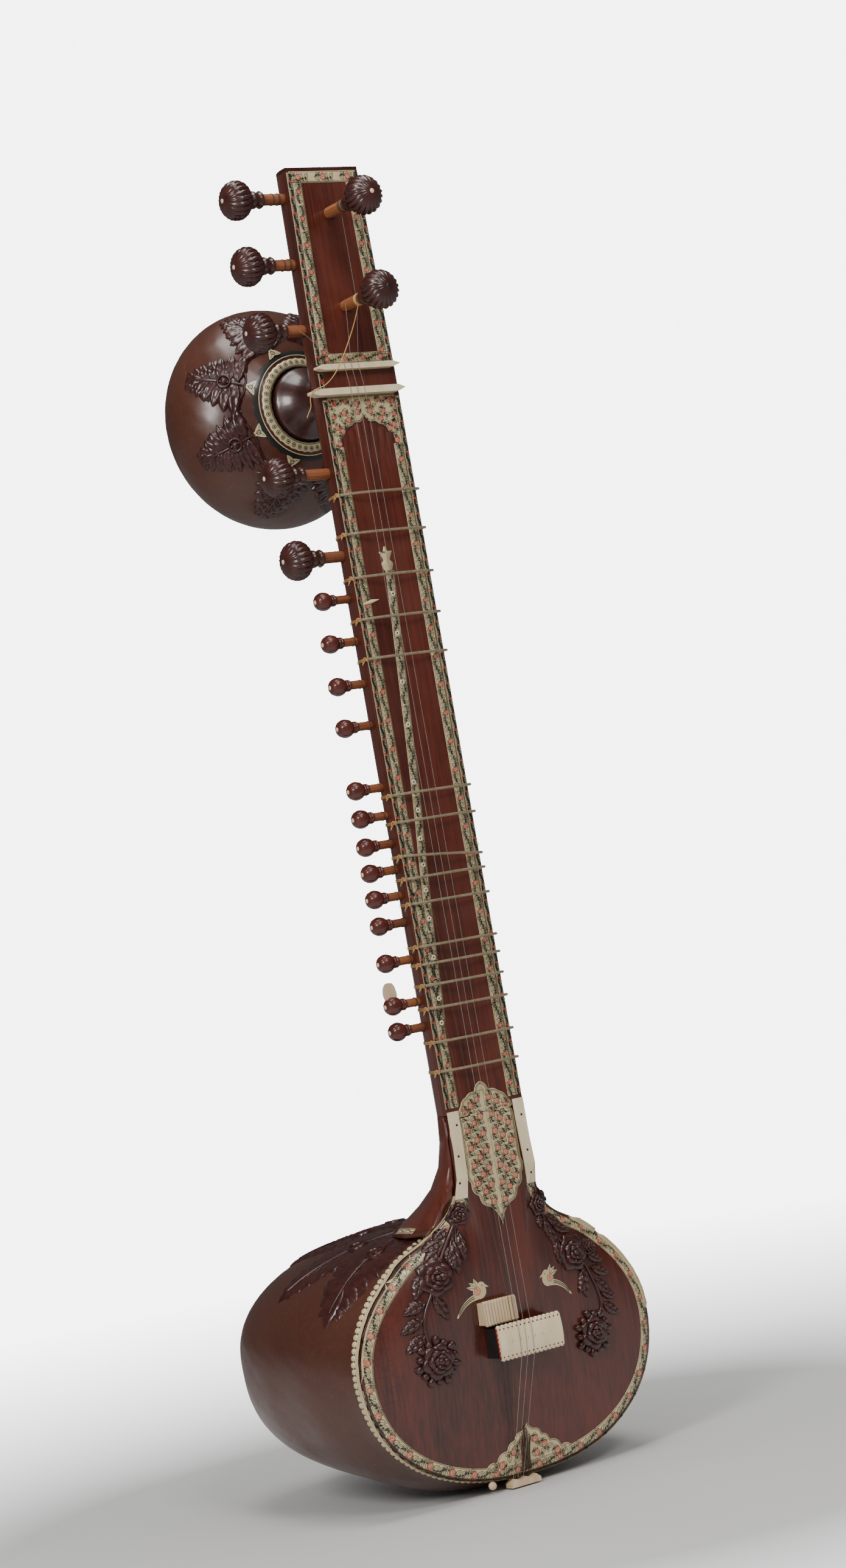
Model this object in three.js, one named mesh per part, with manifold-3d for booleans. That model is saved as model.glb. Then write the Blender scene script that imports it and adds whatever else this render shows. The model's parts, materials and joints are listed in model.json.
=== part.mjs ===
// A full-size sitar with two gourds: the frame, the shells, the pegs, frets, bridges and main strings.
// Millimetres. The neck runs up +Z, the face looks toward -Y, and +X is the right side seen from the front.
// It stands on the flattened underside of its large gourd, and the origin is the middle of that flat.
// Here y is measured from the neck's face. The last lines move the whole group to the origin.
import * as THREE from 'three';
import { mergeVertices } from 'three/addons/utils/BufferGeometryUtils.js';
import ManifoldModule from 'manifold-3d';

const wasm = await ManifoldModule();
wasm.setup();
const { Manifold, Mesh: SolidMesh } = wasm;

// ---------- driving sizes ----------
const gap = 0.3;                       // clearance between pieces that touch on the real instrument
const neckBottom = 360;
const neckTop = 1270;
const neckHalf = 44.5;                 // half width of the neck face
const neckDepth = 46;
const neckWall = 6.5;
const plateThick = 5;
const pegboxStart = 1076;
const pegboxTaper = 41 / 44.5;         // width at the very top compared with the neck
const boardThick = 6;
const rimY = 35;                       // the plane where the large gourd is cut
const rimHalf = 169;
const gourdHalf = 188;
const gourdBack = 332;
const gourdFullness = 2.6;             // above 2 the back is fuller than an ellipse
const restY = 85;                      // the middle of the flat it stands on, behind the neck's face
const gourdWall = 5;
const smallGourd = { z: 1063, y: 169, radius: 112, halfDepth: 75, wall: 4, hole: 33 };
const mainBridge = { z: 142, half: 36.5, height: 30, topY: -12, plate: 4.5 };
const tailY = 26.2;                    // where the strings reach the tailpiece
const tailZ = 10.2;
const smallBridge = { z: 171, x: -23.5, half: 18.5, height: 21, topY: -3 };
const nutZ = 1053;
const nutTop = -11.5;                  // strings clear the frets by about a millimetre
const guideZ = 1077;
const guideTop = -9.5;
const fretCrown = -9;
const sidePegZ = [1246, 1182, 1118, 979, 899];
const frontPegZ = [1228, 1137];
const tarabPegZ = [858, 817, 776, 736, 676, 649, 622, 597, 572, 546.5, 511, 470.5, 446];
const fretZ = [955, 917, 875, 835, 797, 666, 640, 604, 586, 562, 521, 504, 484, 462, 430, 402];
const fretTilt = { 8: -0.09 };         // one fret has been pushed out of square, radians
const stringX = [[-18, -14], [-10, -7], [-2, 1]];   // at the nut, at the bridge
const sidePegY = 14;
const tarabPegY = 16;

// ---------- materials ----------
const material = (color, roughness, metalness = 0) =>
  new THREE.MeshStandardMaterial({ color, roughness, metalness });
const redWood = material(0x5a2418, 0.35);
const gourdBrown = material(0x6e3d22, 0.5);
const darkWood = material(0x2a130e, 0.35);
const pegWood = material(0x4a1d14, 0.35);
const ebony = material(0x0f0d0d, 0.45);
const bone = material(0xe4dac0, 0.5);
const paleWood = material(0x9a6a3c, 0.7);
const brass = material(0x9c8a5c, 0.35, 0.9);
const steel = material(0x8d8a86, 0.3, 1.0);

const sitar = new THREE.Group();
function add(name, geometry, mat) {
  const mesh = new THREE.Mesh(welded(geometry), mat);
  mesh.geometry.computeVertexNormals();
  mesh.name = name;
  sitar.add(mesh);
  return mesh;
}

// ---------- solid helpers ----------
// shared corners joined into one closed skin whose faces point outwards
function welded(geometry) {
  const clean = geometry.clone();
  clean.deleteAttribute('uv');
  clean.deleteAttribute('normal');
  const merged = mergeVertices(clean, 1e-4);
  const index = Array.from(merged.index.array);
  if (signedVolume(merged) < 0) {
    for (let i = 0; i < index.length; i += 3) [index[i], index[i + 1]] = [index[i + 1], index[i]];
    merged.setIndex(index);
  }
  return merged;
}

function toSolid(geometry) {
  const merged = welded(geometry);
  return new Manifold(new SolidMesh({
    numProp: 3,
    vertProperties: new Float32Array(merged.attributes.position.array),
    triVerts: new Uint32Array(merged.index.array),
  }));
}

function toGeometry(solid) {
  const mesh = solid.getMesh();
  const geometry = new THREE.BufferGeometry();
  const stride = mesh.numProp;
  const count = mesh.vertProperties.length / stride;
  const position = new Float32Array(count * 3);
  for (let i = 0; i < count; i += 1) {
    for (let k = 0; k < 3; k += 1) position[i * 3 + k] = mesh.vertProperties[i * stride + k];
  }
  geometry.setAttribute('position', new THREE.BufferAttribute(position, 3));
  geometry.setIndex(new THREE.BufferAttribute(new Uint32Array(mesh.triVerts), 1));
  return geometry;
}

// A closed skin through rings of points, all with the same count. A pole closes an end in one point.
function loft(rings, startPole, endPole) {
  const n = rings[0].length;
  const position = [];
  const index = [];
  rings.forEach((ring) => ring.forEach((p) => position.push(...p)));
  for (let r = 0; r + 1 < rings.length; r += 1) {
    for (let i = 0; i < n; i += 1) {
      const j = (i + 1) % n;
      const a = r * n + i;
      const b = r * n + j;
      index.push(a, b, b + n, a, b + n, a + n);
    }
  }
  const middle = (ring) => [0, 1, 2].map((k) => ring.reduce((s, p) => s + p[k], 0) / n);
  const first = position.length / 3;
  position.push(...(startPole || middle(rings[0])));
  position.push(...(endPole || middle(rings[rings.length - 1])));
  const last = (rings.length - 1) * n;
  for (let i = 0; i < n; i += 1) {
    const j = (i + 1) % n;
    index.push(first, j, i);
    index.push(first + 1, last + i, last + j);
  }
  const geometry = new THREE.BufferGeometry();
  geometry.setAttribute('position', new THREE.Float32BufferAttribute(position, 3));
  geometry.setIndex(index);
  return geometry;
}

function signedVolume(geometry) {
  const p = geometry.attributes.position;
  const id = geometry.index.array;
  const [a, b, c] = [new THREE.Vector3(), new THREE.Vector3(), new THREE.Vector3()];
  let sum = 0;
  for (let i = 0; i < id.length; i += 3) {
    a.fromBufferAttribute(p, id[i]);
    b.fromBufferAttribute(p, id[i + 1]);
    c.fromBufferAttribute(p, id[i + 2]);
    sum += a.dot(b.cross(c));
  }
  return sum;
}

// A turned piece about the Y axis through (0, z), from [radius, y] pairs.
function turnedAlongY(profile, z, segments) {
  const points = profile.map(([r, y]) => new THREE.Vector2(r, y));
  return new THREE.LatheGeometry(points, segments).translate(0, 0, z);
}

// A straight rod between two heights on any axis, used to cut holes.
function rod(radius, length, segments = 16) {
  return new THREE.CylinderGeometry(radius, radius, length, segments);
}
const alongX = (geometry) => geometry.rotateZ(Math.PI / 2);

const smooth = (t) => {
  const c = Math.min(Math.max(t, 0), 1);
  return c * c * (3 - 2 * c);
};

// ---------- the soundboard's outline and its arched surface ----------
const boardMiddle = 136;
// half width of the board at a height: a rounded body with a tongue that runs up to the neck
function boardHalfWidth(z) {
  const body = (power, reach) => {
    const t = Math.min(Math.abs(z - boardMiddle) / reach, 1);
    return rimHalf * (1 - t ** power) ** (1 / power);
  };
  if (z <= boardMiddle) return body(2.25, boardMiddle - 10);
  const shoulder = body(1.9, 126);
  const tongue = neckHalf + 70 * Math.max(0, (300 - z) / 70) ** 2.6;
  return Math.max(shoulder, z > 230 ? Math.min(tongue, 140) : 0, neckHalf);
}

// y of the board's front surface
function boardFront(x, z) {
  const crown = 29 * Math.max(0, (270 - z) / 260) ** 1.4;
  const edge = 29 * smooth((305 - z) / 75);
  const side = Math.min(Math.abs(x) / Math.max(boardHalfWidth(z), 1), 1);
  return crown + (edge - crown) * side ** 2 * smooth((z - 4) / 40);
}

function boardOutline(grow = 0) {
  const right = [];
  const steps = 20;
  for (let i = 0; i <= steps; i += 1) {
    const z = boardMiddle - (boardMiddle - 10) * Math.cos((i / steps) * Math.PI / 2);
    const out = grow * Math.sin((i / steps) * Math.PI / 2);
    right.push([boardHalfWidth(z) + out, z - (grow * (steps - i)) / steps]);
  }
  [158, 180, 200, 218, 234, 247, 258, 269, 280, 292, 306, 332].forEach((z) => {
    right.push([boardHalfWidth(z) + grow, z]);
  });
  right.push([neckHalf + grow, neckBottom + grow]);
  const left = right.slice(1).reverse().map(([x, z]) => [-x, z]);
  return [...right, ...left];
}

function boardSolid(frontShift, backShift, grow = 0) {
  const outline = boardOutline(grow);
  const centre = [0, boardMiddle];
  const scales = [0.3, 0.55, 0.78, 0.92, 1];
  const ring = (s, shift) => outline.map(([x, z]) => {
    const px = centre[0] + (x - centre[0]) * s;
    const pz = centre[1] + (z - centre[1]) * s;
    return [px, boardFront(px, pz) + shift, pz];
  });
  const rings = scales.map((s) => ring(s, frontShift));
  [...scales].reverse().forEach((s) => rings.push(ring(s, backShift)));
  const pole = (shift) => [centre[0], boardFront(...centre) + shift, centre[1]];
  return loft(rings, pole(frontShift), pole(backShift));
}

// ---------- the large gourd ----------
function gourdRing(y, inset) {
  const along = Math.max(0, (y - 130) / (gourdBack - 130));
  const round = (1 - along ** gourdFullness) ** (1 / gourdFullness);
  const swell = rimHalf / gourdHalf + (1 - rimHalf / gourdHalf) * smooth((y - rimY) / 75);
  const belly = smooth((y - rimY) / 40);
  const half = gourdHalf * swell * round - inset;
  const middle = boardMiddle + 12 * belly;
  const up = (126 - 18 * belly) * round - inset;
  const lift = 0.2 * Math.max(0, y - 100) * round;
  const down = (126 + 25 * belly) * round - lift - inset;
  const ring = [];
  const count = 40;
  for (let i = 0; i < count; i += 1) {
    const t = (i / count) * Math.PI * 2;
    const power = Math.sin(t) < 0 ? 2.2 + 0.6 * smooth((y - 110) / 140) : 1.95 + 0.2 * belly;
    const c = Math.cos(t);
    const s = Math.sin(t);
    const x = half * Math.sign(c) * Math.abs(c) ** (2 / power);
    const z = middle + (s > 0 ? up : down) * Math.sign(s) * Math.abs(s) ** (2 / power);
    ring.push([x, y, Math.max(z, inset)]);
  }
  return ring;
}
const gourdDepths = [rimY + gap, 52, 75, 105, 140, 175, 210, 242, 270, 292, 308, 318];
const poleHeight = boardMiddle + 12;

function gourdShell() {
  const outer = gourdDepths.map((y) => gourdRing(y, 0)).reverse();
  const inner = gourdDepths.slice(0, -1).map((y) => gourdRing(y, gourdWall));
  return loft([...outer, ...inner], [0, gourdBack, poleHeight], [0, gourdBack - gourdWall - 4, poleHeight]);
}

function gourdFilled(grow) {
  const rings = [rimY - 8, ...gourdDepths].map((y) => gourdRing(y, -grow)).reverse();
  return loft(rings, [0, gourdBack + grow, poleHeight]);
}

add('gourd_bowl', gourdShell(), gourdBrown);
add('soundboard', boardSolid(0, boardThick), redWood);

// ---------- neck sections ----------
// one half-round trough section at a height: outer curve, then back along the inner curve
function troughSection(z, scale) {
  const steps = 10;
  const curve = (half, depth, turn) => {
    const points = [];
    for (let i = 0; i <= steps; i += 1) {
      const t = (turn ? 1 - i / steps : i / steps) * Math.PI;
      const y = plateThick + gap + (depth - plateThick - gap) * Math.sin(t);
      points.push([half * scale * Math.cos(t), y, z]);
    }
    return points;
  };
  return [...curve(neckHalf, neckDepth, false), ...curve(neckHalf - neckWall, neckDepth - neckWall, true)];
}

// The trough is closed by its ring of outer and inner curves, so each end is a flat C of quads.
function troughGeometry() {
  const levels = [[neckBottom + gap, 1], [pegboxStart, 1], [neckTop, pegboxTaper]];
  const sections = levels.map(([z, s]) => troughSection(z, s));
  const n = sections[0].length;
  const position = sections.flat(2);
  const index = [];
  for (let r = 0; r + 1 < sections.length; r += 1) {
    for (let i = 0; i < n; i += 1) {
      const j = (i + 1) % n;
      index.push(r * n + i, r * n + j, (r + 1) * n + j, r * n + i, (r + 1) * n + j, (r + 1) * n + i);
    }
  }
  const top = (sections.length - 1) * n;
  for (let i = 0; i + 1 < n / 2; i += 1) {
    const [a, b, c, d] = [i, i + 1, n - 2 - i, n - 1 - i];
    index.push(a, c, b, a, d, c);
    index.push(top + a, top + b, top + c, top + a, top + c, top + d);
  }
  const geometry = new THREE.BufferGeometry();
  geometry.setAttribute('position', new THREE.Float32BufferAttribute(position, 3));
  geometry.setIndex(index);
  return geometry;
}

const sidePegRadius = 5.6;
const tarabPegRadius = 4.2;
const studRadius = 11;
let trough = toSolid(troughGeometry());
sidePegZ.forEach((z, i) => {
  const both = i < 3;
  const hole = alongX(rod(sidePegRadius + 0.5, both ? 120 : 40)).translate(both ? 0 : -45, sidePegY, z);
  trough = trough.subtract(toSolid(hole));
});
tarabPegZ.forEach((z) => {
  trough = trough.subtract(toSolid(alongX(rod(tarabPegRadius + 0.5, 40, 12)).translate(-45, tarabPegY, z)));
});
trough = trough.subtract(toSolid(rod(studRadius + 0.5, 30, 20).translate(0, 45, smallGourd.z)));
add('neck_trough', toGeometry(trough), redWood);

// face of the neck: flat borders with a shallow channel between them, fading out under the nut
function plateSection(z, scale, channel) {
  const across = [-1, -0.78, -0.55, -0.28, 0, 0.28, 0.55, 0.78, 1];
  const face = across.map((u) => {
    const dip = Math.abs(u) < 0.7 ? 2.6 * channel * (1 - (u / 0.7) ** 2) : 0;
    return [u * neckHalf * scale, dip, z];
  });
  return [...face, [neckHalf * scale, plateThick, z], [-neckHalf * scale, plateThick, z]];
}
const faceplate = loft([
  plateSection(neckBottom + gap, 1, 0.5),
  plateSection(neckBottom + 60, 1, 1),
  plateSection(985, 1, 1),
  plateSection(1012, 1, 0),
  plateSection(pegboxStart - gap, 1, 0),
], [0, 2.5, neckBottom + gap], [0, 2.5, pegboxStart - gap]);
add('neck_faceplate', faceplate, redWood);

let panel = toSolid(loft([plateSection(pegboxStart, 1, 0), plateSection(neckTop, pegboxTaper, 0)]));
frontPegZ.forEach((z) => {
  panel = panel.subtract(toSolid(rod(sidePegRadius + 0.5, 30).translate(0, 2, z)));
});
add('pegbox_panel', toGeometry(panel), redWood);

function capShape(half, depth, thick, z) {
  const shape = new THREE.Shape();
  shape.moveTo(-half, 0);
  shape.lineTo(half, 0);
  shape.lineTo(half, plateThick);
  shape.absellipse(0, plateThick, half, depth - plateThick, 0, Math.PI, false);
  shape.closePath();
  return new THREE.ExtrudeGeometry(shape, { depth: thick, bevelEnabled: false, curveSegments: 16 })
    .translate(0, 0, z);
}
add('neck_end_cap', capShape(neckHalf * pegboxTaper, neckDepth, 2.7, neckTop + gap), darkWood);

// ---------- heel between the neck and the large gourd ----------
// A half-round section that is no wider than the soundboard at its edge, and spreads behind it.
function heelSection([z, half, depth]) {
  const boardHalf = boardHalfWidth(z);
  const edgeY = boardFront(boardHalf, z);
  const limit = (y) => Math.min(half, boardHalf + 0.7 * Math.max(0, y - edgeY));
  const points = [];
  const steps = 20;
  for (let i = 0; i <= steps; i += 1) {
    const t = (i / steps) * Math.PI;
    const y = 5 + (depth - 5) * Math.sin(t);
    const reach = limit(y);
    points.push([Math.max(-reach, Math.min(reach, half * Math.cos(t))), y, z]);
  }
  return [[limit(0), -6, z], ...points, [-limit(0), -6, z]];
}
const heelLevels = [
  [252, 86, 150], [260, 75, 134], [275, 61, 108],
  [291, 52, 84], [311, 47, 64], [335, 45, 51.5], [neckBottom, neckHalf, neckDepth],
];
const tenon = new THREE.BoxGeometry(46, 19, 96).translate(0, 20.5, 358);
const mortise = new THREE.BoxGeometry(46 + 2 * gap, 19 + 2 * gap, 52).translate(0, 20.5, 335);
const heel = toSolid(loft(heelLevels.map(heelSection)))
  .subtract(toSolid(boardSolid(-40, boardThick + gap)))
  .subtract(toSolid(boardSolid(-40, boardThick - 1, 4)))
  .subtract(toSolid(gourdFilled(gap)))
  .subtract(toSolid(mortise));
const heelPieces = heel.decompose().sort((a, b) => b.volume() - a.volume());
add('heel_block', toGeometry(heelPieces[0]), redWood);
add('neck_tenon', tenon, paleWood);

// ---------- the upper gourd, its turned collar and the stud it screws onto ----------
function smallGourdProfile() {
  const { y, radius, halfDepth, wall, hole } = smallGourd;
  const outer = [];
  const inner = [];
  const steps = 11;
  const start = Math.asin(hole / radius);
  for (let i = 0; i <= steps; i += 1) {
    const t = start + (1 - i / steps) * (Math.PI - start);
    outer.push([i === 0 ? 0 : radius * Math.sin(t), y - halfDepth * Math.cos(t)]);
    const r = radius - wall;
    const s = Math.asin(hole / r) + (i / steps) * (Math.PI - Math.asin(hole / r));
    inner.push([i === steps ? 0 : r * Math.sin(s), y - (halfDepth - wall) * Math.cos(s)]);
  }
  return [...outer, ...inner];
}
add('upper_gourd', turnedAlongY(smallGourdProfile(), smallGourd.z, 30), gourdBrown);
const bore = studRadius + 0.5;
const collarProfile = [
  [bore, 46.4], [21, 46.4], [22.5, 50], [19, 55], [16.5, 63], [18, 73], [24, 83], [31, 90], [36, 94],
  [36.5, 97],
  [33.5, 97], [bore, 93], [bore, 46.4],
];
add('upper_gourd_collar', turnedAlongY(collarProfile, smallGourd.z, 24), darkWood);
const studProfile = [[0, 24], [15, 24], [15, 30], [studRadius, 30], [studRadius, 116], [0, 118]];
add('upper_gourd_stud', turnedAlongY(studProfile,
  smallGourd.z, 20), paleWood);

// ---------- nut, guide, bridges, guard strips, tailpiece ----------
// a bar across the neck with pointed ends, outline seen from the front
function crossBar(left, right, height, z, topY, baseY) {
  const shape = new THREE.Shape();
  const h = height / 2;
  shape.moveTo(left, -h * 0.3);
  shape.lineTo(left + 7, -h);
  shape.lineTo(right - 8, -h);
  shape.lineTo(right, 0);
  shape.lineTo(right - 8, h);
  shape.lineTo(left + 5, h);
  shape.lineTo(left, h * 0.5);
  shape.closePath();
  return new THREE.ExtrudeGeometry(shape, { depth: baseY - topY, bevelEnabled: false })
    .rotateX(Math.PI / 2).translate(0, baseY, z);
}
add('nut', crossBar(-60, 46, 6.4, nutZ, nutTop, -gap), bone);
add('string_guide', crossBar(-48, 46, 5.4, guideZ, guideTop, -gap), bone);

const boardCutter = toSolid(boardSolid(-gap, boardThick + 30));
function bridgeFoot(half, height, x, z, topY, arch) {
  const shape = new THREE.Shape();
  const archTop = topY + 2.6;
  shape.moveTo(-half, topY);
  shape.lineTo(-half, 16);
  if (arch) {
    shape.lineTo(-half * 0.72, 16);
    shape.lineTo(-half * 0.6, archTop);
    shape.lineTo(half * 0.6, archTop);
    shape.lineTo(half * 0.72, 16);
  }
  shape.lineTo(half, 16);
  shape.lineTo(half, topY);
  shape.closePath();
  const block = new THREE.ExtrudeGeometry(shape, { depth: height, bevelEnabled: false })
    .translate(x, 0, z - height / 2);
  return toGeometry(toSolid(block).subtract(boardCutter));
}
const { z: bridgeZ, half: bridgeHalf, height: bridgeHeight, topY: bridgeTop, plate: bridgePlate } = mainBridge;
const bridgeLip = bridgeTop + bridgePlate;
const mainFoot = bridgeFoot(bridgeHalf - 0.5, bridgeHeight - 2, 0, bridgeZ, bridgeLip + gap, true);
add('main_bridge_foot', mainFoot, ebony);

// the bone table of the bridge is crowned along the strings
function bridgeTable(half, height, z, topY, thick) {
  const rings = [-1, -0.75, -0.4, 0, 0.4, 0.75, 1].map((v) => {
    const rise = topY + 1.6 * v * v;
    const zz = z + (v * height) / 2;
    return [[-half, rise, zz], [half, rise, zz], [half, topY + thick, zz], [-half, topY + thick, zz]];
  });
  return loft(rings);
}
add('main_bridge_table', bridgeTable(bridgeHalf, bridgeHeight, bridgeZ, bridgeTop, bridgePlate), bone);
add('small_bridge', bridgeFoot(smallBridge.half, smallBridge.height, smallBridge.x, smallBridge.z,
  smallBridge.topY, false), bone);

function faceY(x, z) {
  return z > neckBottom ? 0 : boardFront(x, z);
}
function guardStrip(side) {
  const levels = [[281, 35, 47], [300, 33.5, 45.5], [325, 32.5, 44], [345, 32, 44], [363, 32, 44]];
  const rings = levels.map(([z, inner, outer]) => {
    const [a, b] = [inner * side, outer * side];
    const [ya, yb] = [faceY(a, z) - gap, faceY(b, z) - gap];
    return [[a, ya - 1.4, z], [b, yb - 1.4, z], [b, yb, z], [a, ya, z]];
  });
  return toGeometry(toSolid(loft(rings)).subtract(boardCutter));
}
add('guard_strip_left', guardStrip(-1), bone);
add('guard_strip_right', guardStrip(1), bone);

const tailShape = new THREE.Shape();
tailShape.moveTo(-17, 0);
tailShape.lineTo(17, 0);
tailShape.lineTo(17, 4);
[[12, 8], [6, 5.5], [0, 8], [-6, 5.5], [-12, 8], [-17, 4]].forEach(([x, z]) => tailShape.lineTo(x, z));
tailShape.closePath();
const tailpiece = new THREE.ExtrudeGeometry(tailShape, { depth: 11, bevelEnabled: false })
  .rotateX(Math.PI / 2).translate(-9, 36, 1.6);
const tailCutter = toSolid(boardSolid(-gap, boardThick + gap, gap)).add(toSolid(gourdFilled(gap)));
add('tailpiece', toGeometry(toSolid(tailpiece).subtract(tailCutter)), bone);

// ---------- pegs ----------
// [distance out from the neck wall, radius]; the shaft starts inside the neck
function pegProfile(inside, radius, tip, rings) {
  return [[0, -inside], [radius * 0.8, -inside], [radius, -6], [radius, rings[0][1]], ...rings, [0, tip]];
}
function turnedPeg(profile, segments) {
  const points = profile.map(([r, d]) => new THREE.Vector2(r, d));
  return new THREE.LatheGeometry(points, segments);
}
const mainHead = [
  [5.6, 21], [8.6, 22.5], [8.2, 33], [12, 36], [17.4, 41], [19.4, 48.5], [18, 55], [12.5, 61], [3, 64],
];
const tarabHead = [[4.2, 15.5], [5.8, 16.5], [5.8, 20], [8, 23], [9, 28.5], [7.6, 35.5], [2, 38.2]];
sidePegZ.forEach((z, i) => {
  const reach = [1, 1, 0, 7, 2][i];   // the heads do not all stand out equally far
  const head = mainHead.map(([r, d]) => [r, d + reach]);
  const profile = pegProfile(i < 3 ? 82 : 26, sidePegRadius, 64.6 + reach, head);
  const wall = i < 3 ? 43.2 : 44;
  const shape = turnedPeg(profile, 14).rotateZ(Math.PI / 2).translate(-wall, sidePegY, z);
  add(`peg_side_${i + 1}`, shape, pegWood);
});
frontPegZ.forEach((z, i) => {
  const head = mainHead.map(([r, d]) => [r, d + 14]);
  const profile = pegProfile(34, sidePegRadius, 78.6, head);
  add(`peg_front_${i + 1}`, turnedPeg(profile, 14).rotateX(Math.PI).translate(0, 0, z), pegWood);
});
tarabPegZ.forEach((z, i) => {
  const profile = pegProfile(26, tarabPegRadius, 38.6, tarabHead);
  const shape = turnedPeg(profile, 10).rotateZ(Math.PI / 2).translate(-43.6, tarabPegY, z);
  add(`peg_tarab_${i + 1}`, shape, pegWood);
});

// ---------- frets: arched rods whose ends come down beside the face ----------
const fretRadius = 1.35;
fretZ.forEach((z, i) => {
  const path = new THREE.CatmullRomCurve3([
    [-43.5, 0.2], [-38, 0.55], [-24, 0.87], [0, 1], [24, 0.87], [38, 0.6], [46, 0.3],
  ].map(([x, share]) => new THREE.Vector3(x, share * fretCrown, 0)));
  const circle = new THREE.Shape();
  circle.absarc(0, 0, fretRadius, 0, Math.PI * 2, false);
  const geometry = new THREE.ExtrudeGeometry(circle, { steps: 9, curveSegments: 3, extrudePath: path });
  geometry.rotateY(-(fretTilt[i + 1] || 0)).translate(0, 0, z);
  add(`fret_${i + 1}`, geometry, brass);
});

// ---------- main strings: from the pegs, over the guide, nut and bridge, to the tailpiece ----------
// Two strings climb to the pegs in the face, and the third goes over the edge to a side peg.
const pegEnds = [
  [[-44.8, -1.4, 1104], [-47.4, 0.6, 1109], [-51.5, sidePegY - sidePegRadius - 0.6, 1117]],
  [[-sidePegRadius - 0.7, -11, frontPegZ[1]]],
  [[sidePegRadius + 1, -11.5, frontPegZ[1]], [sidePegRadius + 0.7, -12, frontPegZ[0]]],
];
function addString(name, radius, route) {
  const rings = route.map(([x, y, z]) => [0, 1, 2, 3, 4, 5].map((k) => {
    const t = (k * Math.PI) / 3;
    return [x + radius * Math.cos(t), y + radius * Math.sin(t), z];
  }));
  add(name, loft(rings), steel);
}
stringX.forEach(([atNut, atBridge], i) => {
  const radius = [0.25, 0.22, 0.2][i];
  const lift = radius + 0.25;
  const edge = bridgeHeight / 2;
  const tailX = atBridge - 9 - i * 1.5;
  addString(`string_${i + 1}`, radius, [
    ...[...pegEnds[i]].reverse(),
    [atNut - 1, guideTop - lift, guideZ + 2.7],
    [atNut - 1, guideTop - lift - 0.2, guideZ - 2.7],
    [atNut, nutTop - lift, nutZ + 3.2],
    [atNut, nutTop - lift, nutZ - 3.2],
    [atBridge, bridgeTop - lift, bridgeZ],
    [atBridge - 0.5, bridgeTop + 1.6 - lift - 0.2, bridgeZ - edge - 0.5],
    [tailX, tailY, tailZ],
  ]);
});

// ---------- sympathetic strings: from the face, over the small bridge, to the tailpiece ----------
[{ start: [-21, 0.1, 594], bridge: -9.5, tail: -14.2 }, { start: [-30, -0.6, 467], bridge: -14, tail: -20.2 }]
  .forEach(({ start, bridge, tail }, i) => {
    const radius = 0.2;
    const over = smallBridge.topY - radius - 0.3;
    const reach = smallBridge.height / 2;
    addString(`string_${i + 4}`, radius, [
      start,
      [bridge, over, smallBridge.z + reach],
      [bridge, over, smallBridge.z - reach],
      [tail, tailY, tailZ],
    ]);
  });

sitar.position.y = -restY;

export default sitar;
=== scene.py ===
"""A sitar with two gourds: its carvings, inlay, turned pegs and finishes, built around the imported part.

Lengths are millimetres until a mesh is made. A place is (x, depth, z): x to the right, depth back from the
face of the neck, z up from what the instrument stands on.
"""

import json
import math
import random

import bmesh
import bpy
from mathutils import Matrix, Vector
from mathutils.bvhtree import BVHTree

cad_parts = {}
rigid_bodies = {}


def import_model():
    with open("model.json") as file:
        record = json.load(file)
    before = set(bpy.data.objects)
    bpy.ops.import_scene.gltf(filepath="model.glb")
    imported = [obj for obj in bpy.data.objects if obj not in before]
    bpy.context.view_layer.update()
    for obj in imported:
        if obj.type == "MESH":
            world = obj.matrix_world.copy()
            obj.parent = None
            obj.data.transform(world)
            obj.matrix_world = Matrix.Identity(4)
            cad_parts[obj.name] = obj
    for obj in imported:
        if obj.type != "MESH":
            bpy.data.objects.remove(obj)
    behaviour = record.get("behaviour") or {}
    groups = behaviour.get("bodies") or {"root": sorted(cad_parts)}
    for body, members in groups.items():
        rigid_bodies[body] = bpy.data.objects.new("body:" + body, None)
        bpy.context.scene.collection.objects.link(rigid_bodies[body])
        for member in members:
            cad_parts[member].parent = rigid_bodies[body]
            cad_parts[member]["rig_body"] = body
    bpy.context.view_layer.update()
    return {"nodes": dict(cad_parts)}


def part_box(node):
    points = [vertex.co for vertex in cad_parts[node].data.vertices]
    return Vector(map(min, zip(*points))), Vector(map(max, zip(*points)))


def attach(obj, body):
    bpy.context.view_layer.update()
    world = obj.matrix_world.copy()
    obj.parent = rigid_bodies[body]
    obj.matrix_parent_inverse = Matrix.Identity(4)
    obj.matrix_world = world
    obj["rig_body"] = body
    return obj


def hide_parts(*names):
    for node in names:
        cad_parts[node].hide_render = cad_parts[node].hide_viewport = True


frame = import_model()
MM = 0.001
BACKDROP = 6.0
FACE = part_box("neck_faceplate")[0].y / MM
NECK_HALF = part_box("neck_faceplate")[1].x / MM
NECK_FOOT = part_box("neck_faceplate")[0].z / MM
PEGBOX_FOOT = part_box("pegbox_panel")[0].z / MM
PEGBOX_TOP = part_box("pegbox_panel")[1].z / MM
PEGBOX_TAPER = 41 / 44.5
UPPER_AXIS = (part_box("upper_gourd")[0].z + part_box("upper_gourd")[1].z) / 2 / MM


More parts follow.
